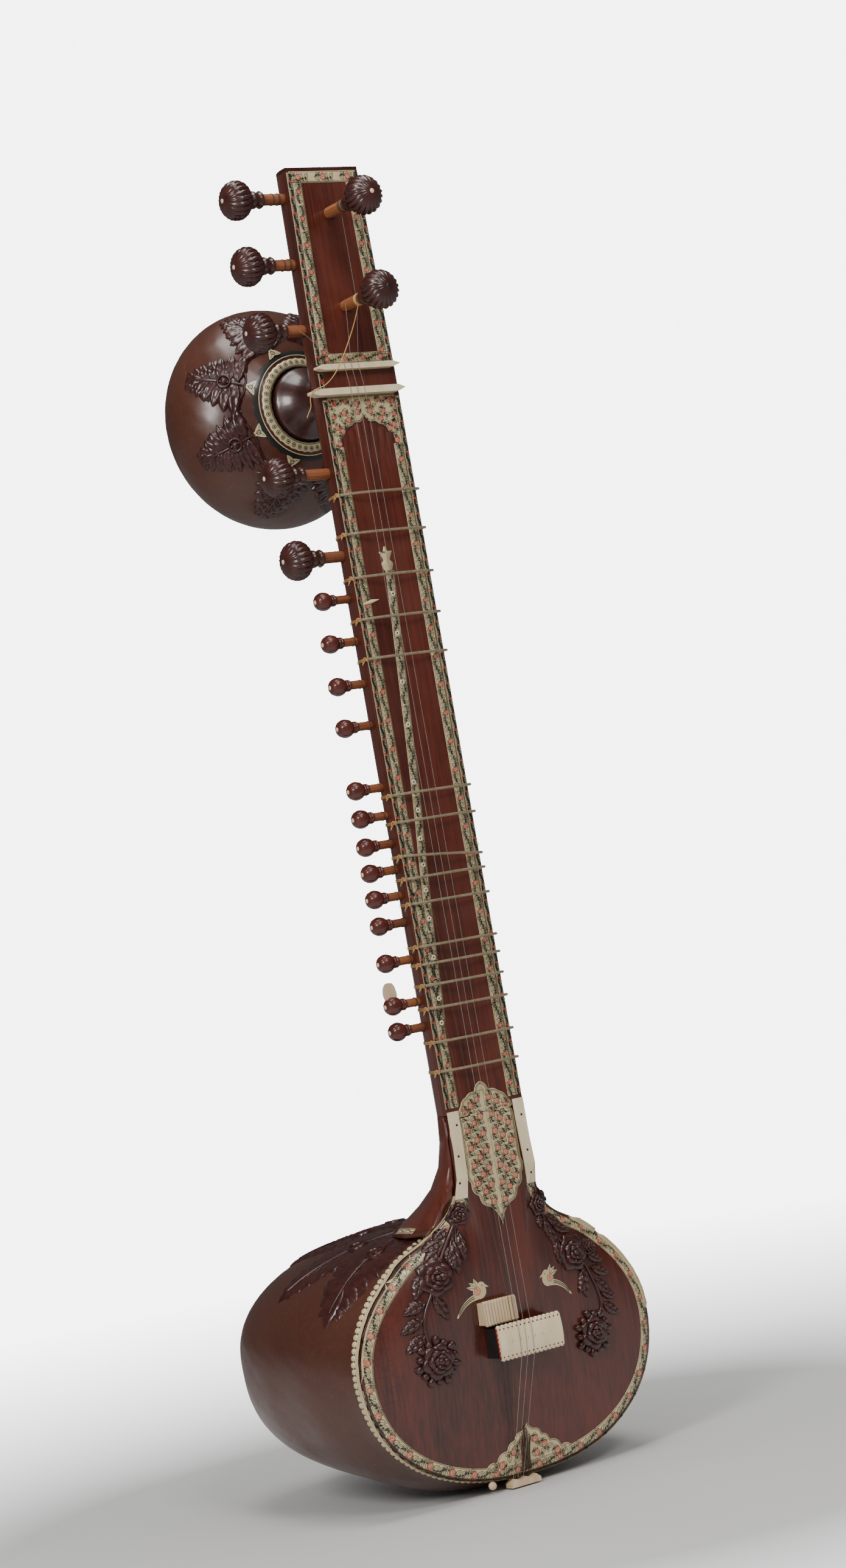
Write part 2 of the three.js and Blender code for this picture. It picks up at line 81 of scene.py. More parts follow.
# ---------- camera, light and floor ----------
def set_camera():
    """A long lens a little above knee height, turned to the instrument's right and leaning with it."""
    data = bpy.data.cameras.new("camera")
    camera = bpy.data.objects.new("camera", data)
    bpy.context.scene.collection.objects.link(camera)
    bpy.context.scene.camera = camera
    data.sensor_fit = "VERTICAL"
    data.sensor_height = 36.0
    data.sensor_width = 36.0
    data.lens = 76.93
    data.clip_end = 100.0
    right = Vector((0.819773, -0.546342, -0.171705))
    up = Vector((0.120709, -0.128248, 0.984369))
    forward = Vector((0.559823, 0.827685, 0.039186))
    turn = Matrix((right, up, -forward)).transposed()
    camera.matrix_world = Matrix.Translation((-1.7893, -2.6365 + FACE * MM, 0.548)) @ turn.to_4x4()


def soft_box(name, place, aim, size, power):
    data = bpy.data.lights.new(name, "AREA")
    data.shape = "RECTANGLE"
    data.size, data.size_y = size
    data.energy = power
    data.color = (1.0, 0.98, 0.95)
    light = bpy.data.objects.new(name, data)
    bpy.context.scene.collection.objects.link(light)
    light.location = place
    light.rotation_mode = "QUATERNION"
    light.rotation_quaternion = (Vector(place) - Vector(aim)).to_track_quat("Z", "Y")


def set_light():
    world = bpy.data.worlds.new("studio")
    world.use_nodes = True
    bpy.context.scene.world = world
    tree = world.node_tree
    path = tree.nodes.new("ShaderNodeLightPath")
    soft = join(tree, "ShaderNodeMapRange",
                {"Value": path.outputs["Is Glossy Ray"], "To Min": 0.5, "To Max": 0.1})
    seen = join(tree, "ShaderNodeMapRange", {"Value": path.outputs["Is Camera Ray"], "To Max": BACKDROP})
    tree.links.new(soft.outputs[0], seen.inputs["To Min"])
    tree.links.new(seen.outputs[0], tree.nodes["Background"].inputs["Strength"])
    tree.nodes["Background"].inputs["Color"].default_value = (1.0, 1.0, 1.0, 1.0)
    middle = (0.0, 0.0, 0.6)
    soft_box("key", (-2.5, -1.5, 1.9), middle, (0.6, 1.2), 62)
    soft_box("fill", (-0.5, -3.2, 2.9), middle, (0.9, 0.9), 46)
    soft_box("top", (0.0, -0.4, 3.2), middle, (1.2, 1.2), 40)


def set_floor():
    """A round pale floor that turns as bright as the surroundings far from the instrument."""
    mesh = bpy.data.meshes.new("floor")
    shape = bmesh.new()
    bmesh.ops.create_circle(shape, cap_ends=True, segments=96, radius=40.0)
    shape.to_mesh(mesh)
    shape.free()
    floor = bpy.data.objects.new("floor", mesh)
    bpy.context.scene.collection.objects.link(floor)
    material = bpy.data.materials.new("pale floor")
    material.use_nodes = True
    tree = material.node_tree
    shader = tree.nodes["Principled BSDF"]
    where = join(tree, "ShaderNodeTexCoord").outputs["Object"]
    reach = join(tree, "ShaderNodeVectorMath", {0: where}, operation="LENGTH").outputs["Value"]
    far = join(tree, "ShaderNodeMapRange", {"Value": reach, "From Min": 0.5, "From Max": 2.2}).outputs[0]
    mottle = join(tree, "ShaderNodeTexNoise", {"Vector": where, "Scale": 3.0, "Detail": 4.0}).outputs["Fac"]
    tone = join(tree, "ShaderNodeMix", {"Factor": mottle, "A": grey(196), "B": grey(208)}, data_type="RGBA")
    tree.links.new(tone.outputs["Result"], shader.inputs["Base Color"])
    shader.inputs["Roughness"].default_value = 0.7
    path = tree.nodes.new("ShaderNodeLightPath")
    bright = join(tree, "ShaderNodeMapRange",
                  {"Value": path.outputs["Is Camera Ray"], "To Min": 0.3, "To Max": BACKDROP})
    glow = join(tree, "ShaderNodeEmission", {"Color": (1.0, 1.0, 1.0, 1.0), "Strength": bright.outputs[0]})
    blend = join(tree, "ShaderNodeMixShader", {0: far, 1: shader.outputs[0], 2: glow.outputs[0]})
    tree.links.new(blend.outputs[0], tree.nodes["Material Output"].inputs["Surface"])
    mesh.materials.append(material)


# ---------- finishes ----------
def tint(red, green, blue):
    """A colour given as screen values from 0 to 255."""
    shares = [c / 255 for c in (red, green, blue)]
    return tuple(((c + 0.055) / 1.055) ** 2.4 if c > 0.04 else c / 12.92 for c in shares) + (1.0,)


def grey(value):
    return tint(value, value, value)


def join(tree, kind, inputs=None, **settings):
    """A new node with its settings and inputs, each a value or the output that feeds it."""
    node = tree.nodes.new(kind)
    for key, value in settings.items():
        setattr(node, key, value)
    for key, value in (inputs or {}).items():
        socket = node.inputs[key] if isinstance(key, int) else find_input(node, key)
        if isinstance(value, bpy.types.NodeSocket):
            tree.links.new(value, socket)
        else:
            socket.default_value = value
    return node


def find_input(node, name):
    """The enabled input of that name: a Mix node has one for each kind of data."""
    return next(s for s in node.inputs if s.name == name and s.enabled)


def result(node):
    return next(s for s in node.outputs if s.enabled)


def effect(name, inputs, outputs):
    """An empty shader group with named sockets: [(name, kind, default)] and [(name, kind)]."""
    group = bpy.data.node_groups.new(name, "ShaderNodeTree")
    for label, kind, value in inputs:
        socket = group.interface.new_socket(label, in_out="INPUT", socket_type="NodeSocket" + kind)
        if value is not None:
            socket.default_value = value
    for label, kind in outputs:
        group.interface.new_socket(label, in_out="OUTPUT", socket_type="NodeSocket" + kind)
    return group, group.nodes.new("NodeGroupInput"), group.nodes.new("NodeGroupOutput")


def stretched_noise(tree, vector, stretch, scale, detail=4.0):
    pulled = join(tree, "ShaderNodeVectorMath", {0: vector, 1: stretch}, operation="MULTIPLY")
    return join(tree, "ShaderNodeTexNoise",
                {"Vector": result(pulled), "Scale": scale, "Detail": detail}).outputs["Fac"]


def grain_effect():
    """Wood fibres along the third axis: fine fibres, broad figure and dark pores."""
    group, start, end = effect(
        "wood grain",
        [("Vector", "Vector", None), ("Light", "Color", None), ("Dark", "Color", None),
         ("Fibres", "Float", 700.0)],
        [("Color", "Color"), ("Height", "Float")],
    )
    fine = stretched_noise(group, start.outputs["Vector"], (1.0, 1.0, 0.03), 1.0, 3.0)
    group.links.new(start.outputs["Fibres"], fine.node.inputs["Scale"])
    broad = stretched_noise(group, start.outputs["Vector"], (1.0, 1.0, 0.12), 34.0, 5.0)
    both = join(group, "ShaderNodeMix", {"Factor": 0.55, "A": fine, "B": broad}, data_type="FLOAT")
    share = join(group, "ShaderNodeMapRange", {"Value": result(both), "From Min": 0.36, "From Max": 0.64})
    tone = join(group, "ShaderNodeMix", {"Factor": share.outputs[0], "A": start.outputs["Dark"],
                                         "B": start.outputs["Light"]}, data_type="RGBA")
    pores = stretched_noise(group, start.outputs["Vector"], (1.0, 1.0, 0.02), 240.0, 2.0)
    streak = join(group, "ShaderNodeMapRange",
                  {"Value": pores, "From Min": 0.58, "From Max": 0.72, "To Max": 0.6})
    dark = join(group, "ShaderNodeMix", {"Factor": streak.outputs[0], "A": result(tone),
                                         "B": start.outputs["Dark"]}, data_type="RGBA")
    group.links.new(result(dark), end.inputs["Color"])
    group.links.new(fine, end.inputs["Height"])
    return group


def wear_effect():
    """Cloudy patches of handling, and fine scratches."""
    group, start, end = effect(
        "handling wear",
        [("Vector", "Vector", None), ("Patch scale", "Float", 12.0), ("Scratch scale", "Float", 60.0)],
        [("Patches", "Float"), ("Scratches", "Float")],
    )
    cloud = join(group, "ShaderNodeTexNoise",
                 {"Vector": start.outputs["Vector"], "Scale": start.outputs["Patch scale"],
                                               "Detail": 5.0, "Roughness": 0.6})
    patches = join(group, "ShaderNodeMapRange",
                   {"Value": cloud.outputs["Fac"], "From Min": 0.4, "From Max": 0.7})
    bent = join(group, "ShaderNodeTexNoise",
                {"Vector": start.outputs["Vector"], "Scale": 9.0, "Detail": 2.0})
    moved = join(group, "ShaderNodeVectorMath", {0: start.outputs["Vector"], 1: bent.outputs["Color"]},
                 operation="ADD")
    lines = join(group, "ShaderNodeTexVoronoi",
                 {"Vector": result(moved), "Scale": start.outputs["Scratch scale"]},
                 feature="DISTANCE_TO_EDGE")
    thin = join(group, "ShaderNodeMapRange",
                {"Value": lines.outputs["Distance"], "From Min": 0.0, "From Max": 0.012,
                                              "To Min": 1.0, "To Max": 0.0})
    group.links.new(patches.outputs[0], end.inputs["Patches"])
    group.links.new(thin.outputs[0], end.inputs["Scratches"])
    return group


GRAIN = grain_effect()
WEAR = wear_effect()


class Finish:
    """One material in the making: its tree, its shader, and the place on the object that patterns read."""

    def __init__(self, name, roughness, metallic=0.0, coat=0.0, coat_roughness=0.1):
        self.material = bpy.data.materials.new(name)
        self.material.use_nodes = True
        self.tree = self.material.node_tree
        self.shader = self.tree.nodes["Principled BSDF"]
        self.shader.inputs["Roughness"].default_value = roughness
        self.shader.inputs["Metallic"].default_value = metallic
        self.shader.inputs["Coat Weight"].default_value = coat
        self.shader.inputs["Coat Roughness"].default_value = coat_roughness
        self.where = self.join("ShaderNodeTexCoord").outputs["Object"]

    def join(self, kind, inputs=None, **settings):
        return join(self.tree, kind, inputs, **settings)

    def feed(self, name, source):
        self.tree.links.new(source, self.shader.inputs[name])

    def mix(self, share, first, second):
        return result(self.join("ShaderNodeMix", {"Factor": share, "A": first, "B": second},
                                data_type="RGBA"))

    def scaled(self, value, low, high):
        return self.join("ShaderNodeMapRange", {"Value": value, "To Min": low, "To Max": high}).outputs[0]

    def use(self, group, inputs):
        node = self.join("ShaderNodeGroup", node_tree=group)
        for key, value in inputs.items():
            if isinstance(value, bpy.types.NodeSocket):
                self.tree.links.new(value, node.inputs[key])
            else:
                node.inputs[key].default_value = value
        return node

    def bump(self, height, strength, distance):
        bump = self.join("ShaderNodeBump", {"Height": height, "Strength": strength, "Distance": distance})
        self.feed("Normal", bump.outputs["Normal"])


def wood(name, light, dark, worn, roughness, coat, fibres=700.0, along="Z", patch=12.0):
    """Lacquered wood with its grain along one axis, paler and duller where hands have been."""
    finish = Finish(name, roughness, coat=coat)
    where = finish.where
    if along != "Z":
        turn = (0.0, math.pi / 2, 0.0) if along == "X" else (math.pi / 2, 0.0, 0.0)
        where = finish.join("ShaderNodeMapping", {"Vector": where, "Rotation": turn}).outputs[0]
    grain = finish.use(GRAIN, {"Vector": where, "Light": light, "Dark": dark, "Fibres": fibres})
    wear = finish.use(WEAR, {"Vector": finish.where, "Patch scale": patch, "Scratch scale": 45.0})
    patches = finish.scaled(wear.outputs["Patches"], 0.0, 0.4)
    colour = finish.mix(patches, grain.outputs["Color"], worn)
    scratched = finish.mix(finish.scaled(wear.outputs["Scratches"], 0.0, 0.12), colour, worn)
    finish.feed("Base Color", scratched)
    finish.feed("Roughness", finish.scaled(wear.outputs["Patches"], roughness - 0.06, roughness + 0.14))
    finish.bump(grain.outputs["Height"], 0.25, 0.0002)
    return finish


def board_wood():
    """The soundboard: deep red, dark figure, and lacquer that has crazed at its left side."""
    finish = wood("board wood", tint(90, 35, 23), tint(42, 16, 12), tint(104, 46, 32), 0.3, 0.45, 420.0,
                  patch=7.0)
    cells = finish.join("ShaderNodeTexVoronoi", {"Vector": finish.where, "Scale": 105.0},
                        feature="DISTANCE_TO_EDGE")
    cracks = finish.join("ShaderNodeMapRange",
                         {"Value": cells.outputs["Distance"], "From Max": 0.05, "To Min": 1.0,
                                                "To Max": 0.0}).outputs[0]
    axes = finish.join("ShaderNodeSeparateXYZ", {"Vector": finish.where})
    side = finish.join("ShaderNodeMapRange",
                       {"Value": axes.outputs["X"], "From Min": -0.115, "From Max": -0.14}).outputs[0]
    both = result(finish.join("ShaderNodeMath", {0: cracks, 1: side}, operation="MULTIPLY"))
    colour = finish.shader.inputs["Base Color"].links[0].from_socket
    finish.feed("Base Color", finish.mix(finish.scaled(both, 0.0, 0.55), colour, tint(32, 12, 10)))
    return finish.material


def gourd_shell():
    finish = Finish("gourd shell", 0.4, coat=0.25, coat_roughness=0.22)
    broad = stretched_noise(finish.tree, finish.where, (1.0, 1.0, 0.6), 7.0, 6.0)
    fine = stretched_noise(finish.tree, finish.where, (1.0, 1.0, 1.0), 160.0, 4.0)
    wear = finish.use(WEAR, {"Vector": finish.where, "Patch scale": 16.0, "Scratch scale": 30.0})
    body = finish.mix(broad, tint(60, 30, 21), tint(92, 50, 34))
    speck = finish.mix(finish.scaled(fine, 0.0, 0.35), body, tint(54, 28, 20))
    colour = finish.mix(finish.scaled(wear.outputs["Scratches"], 0.0, 0.16), speck, tint(150, 110, 84))
    finish.feed("Base Color", colour)
    finish.feed("Roughness", finish.scaled(wear.outputs["Patches"], 0.3, 0.5))
    finish.bump(fine, 0.12, 0.0004)
    return finish.material


def carved_wood(name, light, dark, roughness):
    """Dark stained carving: almost black in the hollows, redder where it has been rubbed."""
    finish = Finish(name, roughness, coat=0.4, coat_roughness=0.18)
    cloud = stretched_noise(finish.tree, finish.where, (1.0, 1.0, 1.0), 90.0, 5.0)
    fine = stretched_noise(finish.tree, finish.where, (1.0, 1.0, 0.3), 900.0, 3.0)
    finish.feed("Base Color", finish.mix(cloud, dark, light))
    finish.feed("Roughness", finish.scaled(cloud, roughness - 0.08, roughness + 0.18))
    finish.bump(fine, 0.25, 0.0002)
    return finish.material


def horn(name, light, dark, roughness, streak=(1.0, 1.0, 0.2), scale=120.0, coat=0.2):
    """Bone or celluloid: cloudy cream with faint streaks and dirt."""
    finish = Finish(name, roughness, coat=coat, coat_roughness=0.2)
    cloud = stretched_noise(finish.tree, finish.where, streak, scale, 5.0)
    dirt = finish.use(WEAR, {"Vector": finish.where, "Patch scale": 40.0, "Scratch scale": 120.0})
    body = finish.mix(cloud, dark, light)
    stained = finish.mix(finish.scaled(dirt.outputs["Patches"], 0.0, 0.3), body, dark)
    finish.feed("Base Color", stained)
    finish.feed("Roughness", finish.scaled(dirt.outputs["Patches"], roughness - 0.05, roughness + 0.2))
    finish.bump(cloud, 0.08, 0.0002)
    return finish.material


def stain(name, light, dark, roughness):
    """Ink or dye rubbed into a surface."""
    finish = Finish(name, roughness)
    cloud = stretched_noise(finish.tree, finish.where, (1.0, 1.0, 1.0), 260.0, 4.0)
    finish.feed("Base Color", finish.mix(cloud, dark, light))
    finish.feed("Roughness", finish.scaled(cloud, roughness - 0.1, roughness + 0.1))
    finish.bump(cloud, 0.1, 0.0001)
    return finish.material


def metal(name, light, dark, roughness):
    finish = Finish(name, roughness, metallic=0.55)
    cloud = stretched_noise(finish.tree, finish.where, (1.0, 1.0, 1.0), 300.0, 5.0)
    drawn = stretched_noise(finish.tree, finish.where, (0.05, 1.0, 1.0), 2500.0, 2.0)
    finish.feed("Base Color", finish.mix(cloud, dark, light))
    finish.feed("Roughness", finish.scaled(cloud, roughness - 0.1, roughness + 0.25))
    finish.bump(drawn, 0.2, 0.00005)
    return finish.material


RED_WOOD = wood("neck wood", tint(96, 40, 26), tint(50, 19, 14), tint(112, 54, 38), 0.32, 0.3).material
BOARD_WOOD = board_wood()
GOURD = gourd_shell()
CARVING = carved_wood("carved dark wood", tint(74, 28, 22), tint(28, 10, 9), 0.3)
PEG_HEAD = carved_wood("peg heads", tint(78, 32, 24), tint(30, 12, 11), 0.28)
SMALL_HEAD = carved_wood("small peg heads", tint(104, 40, 28), tint(44, 16, 13), 0.26)
SHAFT = wood("peg shafts", tint(150, 88, 50), tint(96, 48, 26), tint(120, 70, 44), 0.5, 0.1, 900.0,
             along="X").material
FRONT_SHAFT = wood("front peg shafts", tint(168, 108, 64), tint(110, 60, 34), tint(130, 80, 50), 0.5, 0.1,
                   900.0, along="Y").material
PALE_WOOD = wood("pale wood", tint(168, 122, 78), tint(128, 84, 50), tint(150, 110, 74), 0.7, 0.0).material
EBONY = carved_wood("ebony", tint(30, 27, 27), tint(12, 11, 12), 0.42)
BONE = horn("bone", tint(236, 222, 190), tint(200, 180, 142), 0.42)
OLD_BONE = horn("stained bone", tint(226, 208, 176), tint(176, 140, 100), 0.5)
CREAM = horn("cream celluloid", tint(206, 192, 152), tint(176, 158, 116), 0.36, (1.0, 1.0, 1.0), 70.0, 0.35)
INK = stain("green black ink", tint(40, 50, 44), tint(14, 20, 20), 0.5)
LINE_INK = stain("border ink", tint(60, 54, 42), tint(30, 26, 22), 0.5)
ROSE = stain("rose red", tint(186, 56, 48), tint(150, 40, 34), 0.45)
BLUSH = stain("rose blush", tint(208, 182, 146), tint(204, 170, 136), 0.42)
RED_DYE = stain("red dye", tint(150, 34, 24), tint(96, 18, 14), 0.4)
BRASS = metal("dull brass", tint(186, 172, 142), tint(130, 118, 96), 0.3)
STEEL = metal("string steel", tint(176, 170, 160), tint(122, 116, 108), 0.32)
OLD_WIRE = metal("old bronze wire", tint(136, 104, 74), tint(90, 64, 44), 0.42)
THREAD = stain("tan thread", tint(206, 164, 104), tint(164, 118, 66), 0.8)
DARK_THREAD = stain("dark thread", tint(84, 60, 40), tint(46, 32, 24), 0.8)


# ---------- meshes and surfaces ----------
MARCH_STEP = 4.0


def spot(place):
    """A place in millimetres, behind the neck's face, as a point of the model in metres."""
    x, depth, z = place
    return (x * MM, (depth + FACE) * MM, z * MM)


def piece(name, points, faces, finish, body="frame", crease=None):
    mesh = bpy.data.meshes.new(name)
    mesh.from_pydata([spot(p) for p in points], [], faces)
    mesh.materials.append(finish)
    mesh.shade_smooth()
    if crease:
        mesh.set_sharp_from_angle(angle=math.radians(crease))
    thing = bpy.data.objects.new(name, mesh)
    bpy.context.scene.collection.objects.link(thing)
    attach(thing, body)
    return thing


class Skin:
    """The outside of some meshes, for laying ornament on."""

    def __init__(self, *things):
        points, faces = [], []
        for thing in things:
            start = len(points)
            points += [Vector((v.co.x / MM, v.co.y / MM - FACE, v.co.z / MM)) for v in thing.data.vertices]
            faces += [[start + i for i in p.vertices] for p in thing.data.polygons]
        self.tree = BVHTree.FromPolygons(points, faces)

    def depth(self, x, z):
        """How far back the front surface is at a place, seen square to the neck's face."""
        hit = self.tree.ray_cast(Vector((x, -150.0, z)), Vector((0.0, 1.0, 0.0)))[0]
        if hit is None:
            hit = self.tree.find_nearest(Vector((x, 0.0, z)))[0]
        return hit.y

    def nearest(self, place):
        return self.tree.find_nearest(Vector(place))[:2]


def smoothed(node, levels, finish):
    """A rounder copy of a node, standing in its place."""
    source = frame["nodes"][node]
    shape = bmesh.new()
    shape.from_mesh(source.data)
    bmesh.ops.remove_doubles(shape, verts=shape.verts, dist=0.00001)
    mesh = bpy.data.meshes.new(node + " smooth")
    shape.to_mesh(mesh)
    shape.free()
    thing = bpy.data.objects.new(node + "_smooth", mesh)
    bpy.context.scene.collection.objects.link(thing)
    divide = thing.modifiers.new("rounding", "SUBSURF")
    divide.levels = divide.render_levels = levels
    done = bpy.data.meshes.new_from_object(thing.evaluated_get(bpy.context.evaluated_depsgraph_get()))
    thing.modifiers.clear()
    thing.data = done
    done.materials.clear()
    done.materials.append(finish)
    done.shade_smooth()
    done.set_sharp_from_angle(angle=math.radians(50))
    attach(thing, source["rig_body"])
    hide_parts(node)
    return thing


def gather(points, faces, more_points, more_faces):
    """Adds one shape to the lists of points and faces of another."""
    start = len(points)
    points += more_points
    faces += [[start + i for i in face] for face in more_faces]


class Patch:
    """Points on a flat sheet, (across, up, height), with their faces. Seen from above, faces turn left."""

    def __init__(self):
        self.points = []
        self.faces = []

    def add(self, other, at=(0.0, 0.0), turn=0.0, size=1.0, lift=0.0):
        start = len(self.points)
        c, s = math.cos(turn) * size, math.sin(turn) * size
        for a, b, h in other.points:
            self.points.append((at[0] + a * c - b * s, at[1] + a * s + b * c, h * size + lift))
        self.faces += [[start + i for i in face] for face in other.faces]
        return self


def lay(name, patch, skin, finish, lift=0.0, body="frame"):
    """Drops a patch onto the front of the instrument."""
    points = [(a, skin.depth(a, b) - lift - h, b) for a, b, h in patch.points]
    return piece(name, points, patch.faces, finish, body)


def march(skin, start, heading, length):
    """Frames along a path over a surface: (point, along, across, outward)."""
    point, outward = skin.nearest(start)
    along = Vector(heading)
    frames = []
    for _ in range(int(length / MARCH_STEP) + 2):
        along = (along - outward * along.dot(outward)).normalized()
        frames.append((point, along, outward.cross(along), outward))
        point, outward = skin.nearest(point + along * MARCH_STEP)
    return frames


def wrap(patch, skin, frames):
    """The places of a patch laid along a path over a surface."""
    places = []
    for a, b, h in patch.points:
        index = min(max(int(a / MARCH_STEP), 0), len(frames) - 2)
        share = a / MARCH_STEP - index
        first, second = frames[index], frames[index + 1]
        base = first[0].lerp(second[0], share)
        across = first[2].lerp(second[2], max(0.0, min(share, 1.0))).normalized()
        point, outward = skin.nearest(base + across * b)
        places.append(tuple(point + outward * h))
    return places


# ---------- lines and flat shapes ----------
PLATE_EDGE = 0.4


def between_rows(count, wide, first=0):
    """Faces between rows of points that follow one another, each row this many points wide."""
    faces = []
    for i in range(count - 1):
        for j in range(wide - 1):
            start = first + i * wide + j
            faces.append([start, start + wide, start + wide + 1, start + 1])
    return faces


def curve_through(points, step=2.0):
    """A smooth line through points, as short steps."""
    line = []
    for i in range(len(points) - 1):
        p0, p1 = points[max(i - 1, 0)], points[i]
        p2, p3 = points[i + 1], points[min(i + 2, len(points) - 1)]
        count = max(2, int(math.dist(p1, p2) / step))
        for k in range(count):
            t = k / count
            line.append(tuple(
                0.5 * (2 * b + (c - a) * t + (2 * a - 5 * b + 4 * c - d) * t * t
                       + (3 * b - a - 3 * c + d) * t ** 3)
                for a, b, c, d in zip(p0, p1, p2, p3)))
    line.append(tuple(points[-1]))
    return line


def resampled(line, count):
    """The same line with its points evenly spread."""
    far = [0.0]
    for a, b in zip(line, line[1:]):
        far.append(far[-1] + math.dist(a, b))
    out, i = [], 0
    for k in range(count):
        want = far[-1] * k / (count - 1)
        while i < len(far) - 2 and far[i + 1] < want:
            i += 1
        t = (want - far[i]) / max(far[i + 1] - far[i], 1e-9)
        out.append(tuple(a + (b - a) * t for a, b in zip(line[i], line[i + 1])))
    return out


def line_length(line):
    return sum(math.dist(a, b) for a, b in zip(line, line[1:]))


def shifted(line, distance):
    """The line moved to its left."""
    out = []
    for i, (a, b) in enumerate(line):
        p, q = line[max(i - 1, 0)], line[min(i + 1, len(line) - 1)]
        size = math.dist(p, q) or 1.0
        out.append((a - (q[1] - p[1]) / size * distance, b + (q[0] - p[0]) / size * distance))
    return out


def scallops(cusps, bulge, steps=6):
    """A line of arcs between cusps, each bulging to the right of its run."""
    line = [cusps[0]]
    for (a0, b0), (a1, b1) in zip(cusps, cusps[1:]):
        for k in range(1, steps + 1):
            t = k / steps
            out = 4 * bulge * t * (1 - t)
            line.append((a0 + (a1 - a0) * t + (b1 - b0) * out, b0 + (b1 - b0) * t - (a1 - a0) * out))
    return line


def ribbon(line, width):
    """A flat strip along a line. Width is one number, or one for each point."""
    patch = Patch()
    left = shifted(line, 1.0)
    for i, ((a, b), (la, lb)) in enumerate(zip(line, left)):
        half = (width[i] if isinstance(width, list) else width) / 2
        da, db = (la - a) * half, (lb - b) * half
        patch.points += [(a + da, b + db, 0.0), (a - da, b - db, 0.0)]
    patch.faces = [[2 * i, 2 * i + 1, 2 * i + 3, 2 * i + 2] for i in range(len(line) - 1)]
    return patch


def between(left, right, across, count):
    """A thin plate between two lines that run the same way, with its edges turned down."""
    patch = Patch()
    one, two = resampled(left, count), resampled(right, count)
    shares = [0.0] + [k / across for k in range(across + 1)] + [1.0]
    width = len(shares)
    for p, q in zip(one, two):
        for k, share in enumerate(shares):
            height = -PLATE_EDGE if k in (0, width - 1) else 0.0
            patch.points.append((p[0] + (q[0] - p[0]) * share, p[1] + (q[1] - p[1]) * share, height))
    for i in range(count - 1):
        for k in range(width - 1):
            start = i * width + k
            patch.faces.append([start, start + 1, start + width + 1, start + width])
    return patch


def disc(radius, sides=10, rise=0.0, rings=1):
    """A round flat shape, domed by rise."""
    patch = Patch()
    patch.points.append((0.0, 0.0, rise))
    for r in range(1, rings + 1):
        share = r / rings
        for i in range(sides):
            t = i / sides * math.tau
            reach = radius * share
            height = rise * math.sqrt(max(0.0, 1 - share ** 2))
            patch.points.append((reach * math.cos(t), reach * math.sin(t), height))
    for i in range(sides):
        j = (i + 1) % sides
        patch.faces.append([0, 1 + i, 1 + j])
        for r in range(1, rings):
            a, b = 1 + (r - 1) * sides, 1 + r * sides
            patch.faces.append([a + i, b + i, b + j, a + j])
    return patch


# ---------- inked ornament ----------
VINE_INK = 0.44
ROSE_INK = 0.5
BORDER_INK = 0.45


def inked_leaf(length, half, ink):
    patch = Patch()
    for side in (1, -1):
        edge = [(length * t / 5, side * half * math.sin(math.pi * (t / 5) ** 0.8)) for t in range(6)]
        patch.add(ribbon(edge, ink))
    patch.add(ribbon([(0.0, 0.0), (length * 0.8, 0.0)], ink))
    return patch


def vine(pitch, half):
    """One repeat of a winding stem with leaves on both sides."""
    patch = Patch()
    stem = [((k / 16 - 0.5) * pitch, 0.4 * half * math.sin(k / 16 * math.tau)) for k in range(17)]
    patch.add(ribbon(stem, VINE_INK * 1.1))
    leaves = max(4, int(pitch / half * 1.6))
    for k in range(leaves):
        share = (k + 0.5) / leaves
        at = ((share - 0.5) * pitch, 0.4 * half * math.sin(share * math.tau))
        side = 1 if k % 2 else -1
        reach = (half - side * at[1]) * 1.05
        patch.add(inked_leaf(reach, reach * 0.34, VINE_INK), at, side * math.radians(52), 1.0)
        patch.add(inked_leaf(reach * 0.5, reach * 0.2, VINE_INK), at, -side * math.radians(35), 1.0)
        curl = [(at[0] + reach * 0.3 * (1 + 0.8 * math.cos(n * 0.8)),
                 at[1] - side * reach * 0.3 * (1 + math.sin(n * 0.8)))
                for n in range(6)]
        patch.add(ribbon(curl, VINE_INK * 0.8))
    return patch


def rose(radius):
    """A rose drawn in line: a lobed rim, an inner ring of petals and a curled heart."""
    patch = Patch()
    for reach, lobes, turn in ((1.0, 5, 0.0), (0.6, 4, 0.6)):
        rim = []
        for i in range(21):
            t = i / 20 * math.tau
            r = radius * reach * (0.86 + 0.14 * abs(math.cos(lobes * t / 2 + turn)))
            rim.append((r * math.cos(t), r * math.sin(t)))
        patch.add(ribbon(rim, ROSE_INK))
    heart = [(radius * 0.3 * (1 - k / 14) * math.cos(k * 0.7),
              radius * 0.3 * (1 - k / 14) * math.sin(k * 0.7))
             for k in range(12)]
    return patch.add(ribbon(heart, ROSE_INK))


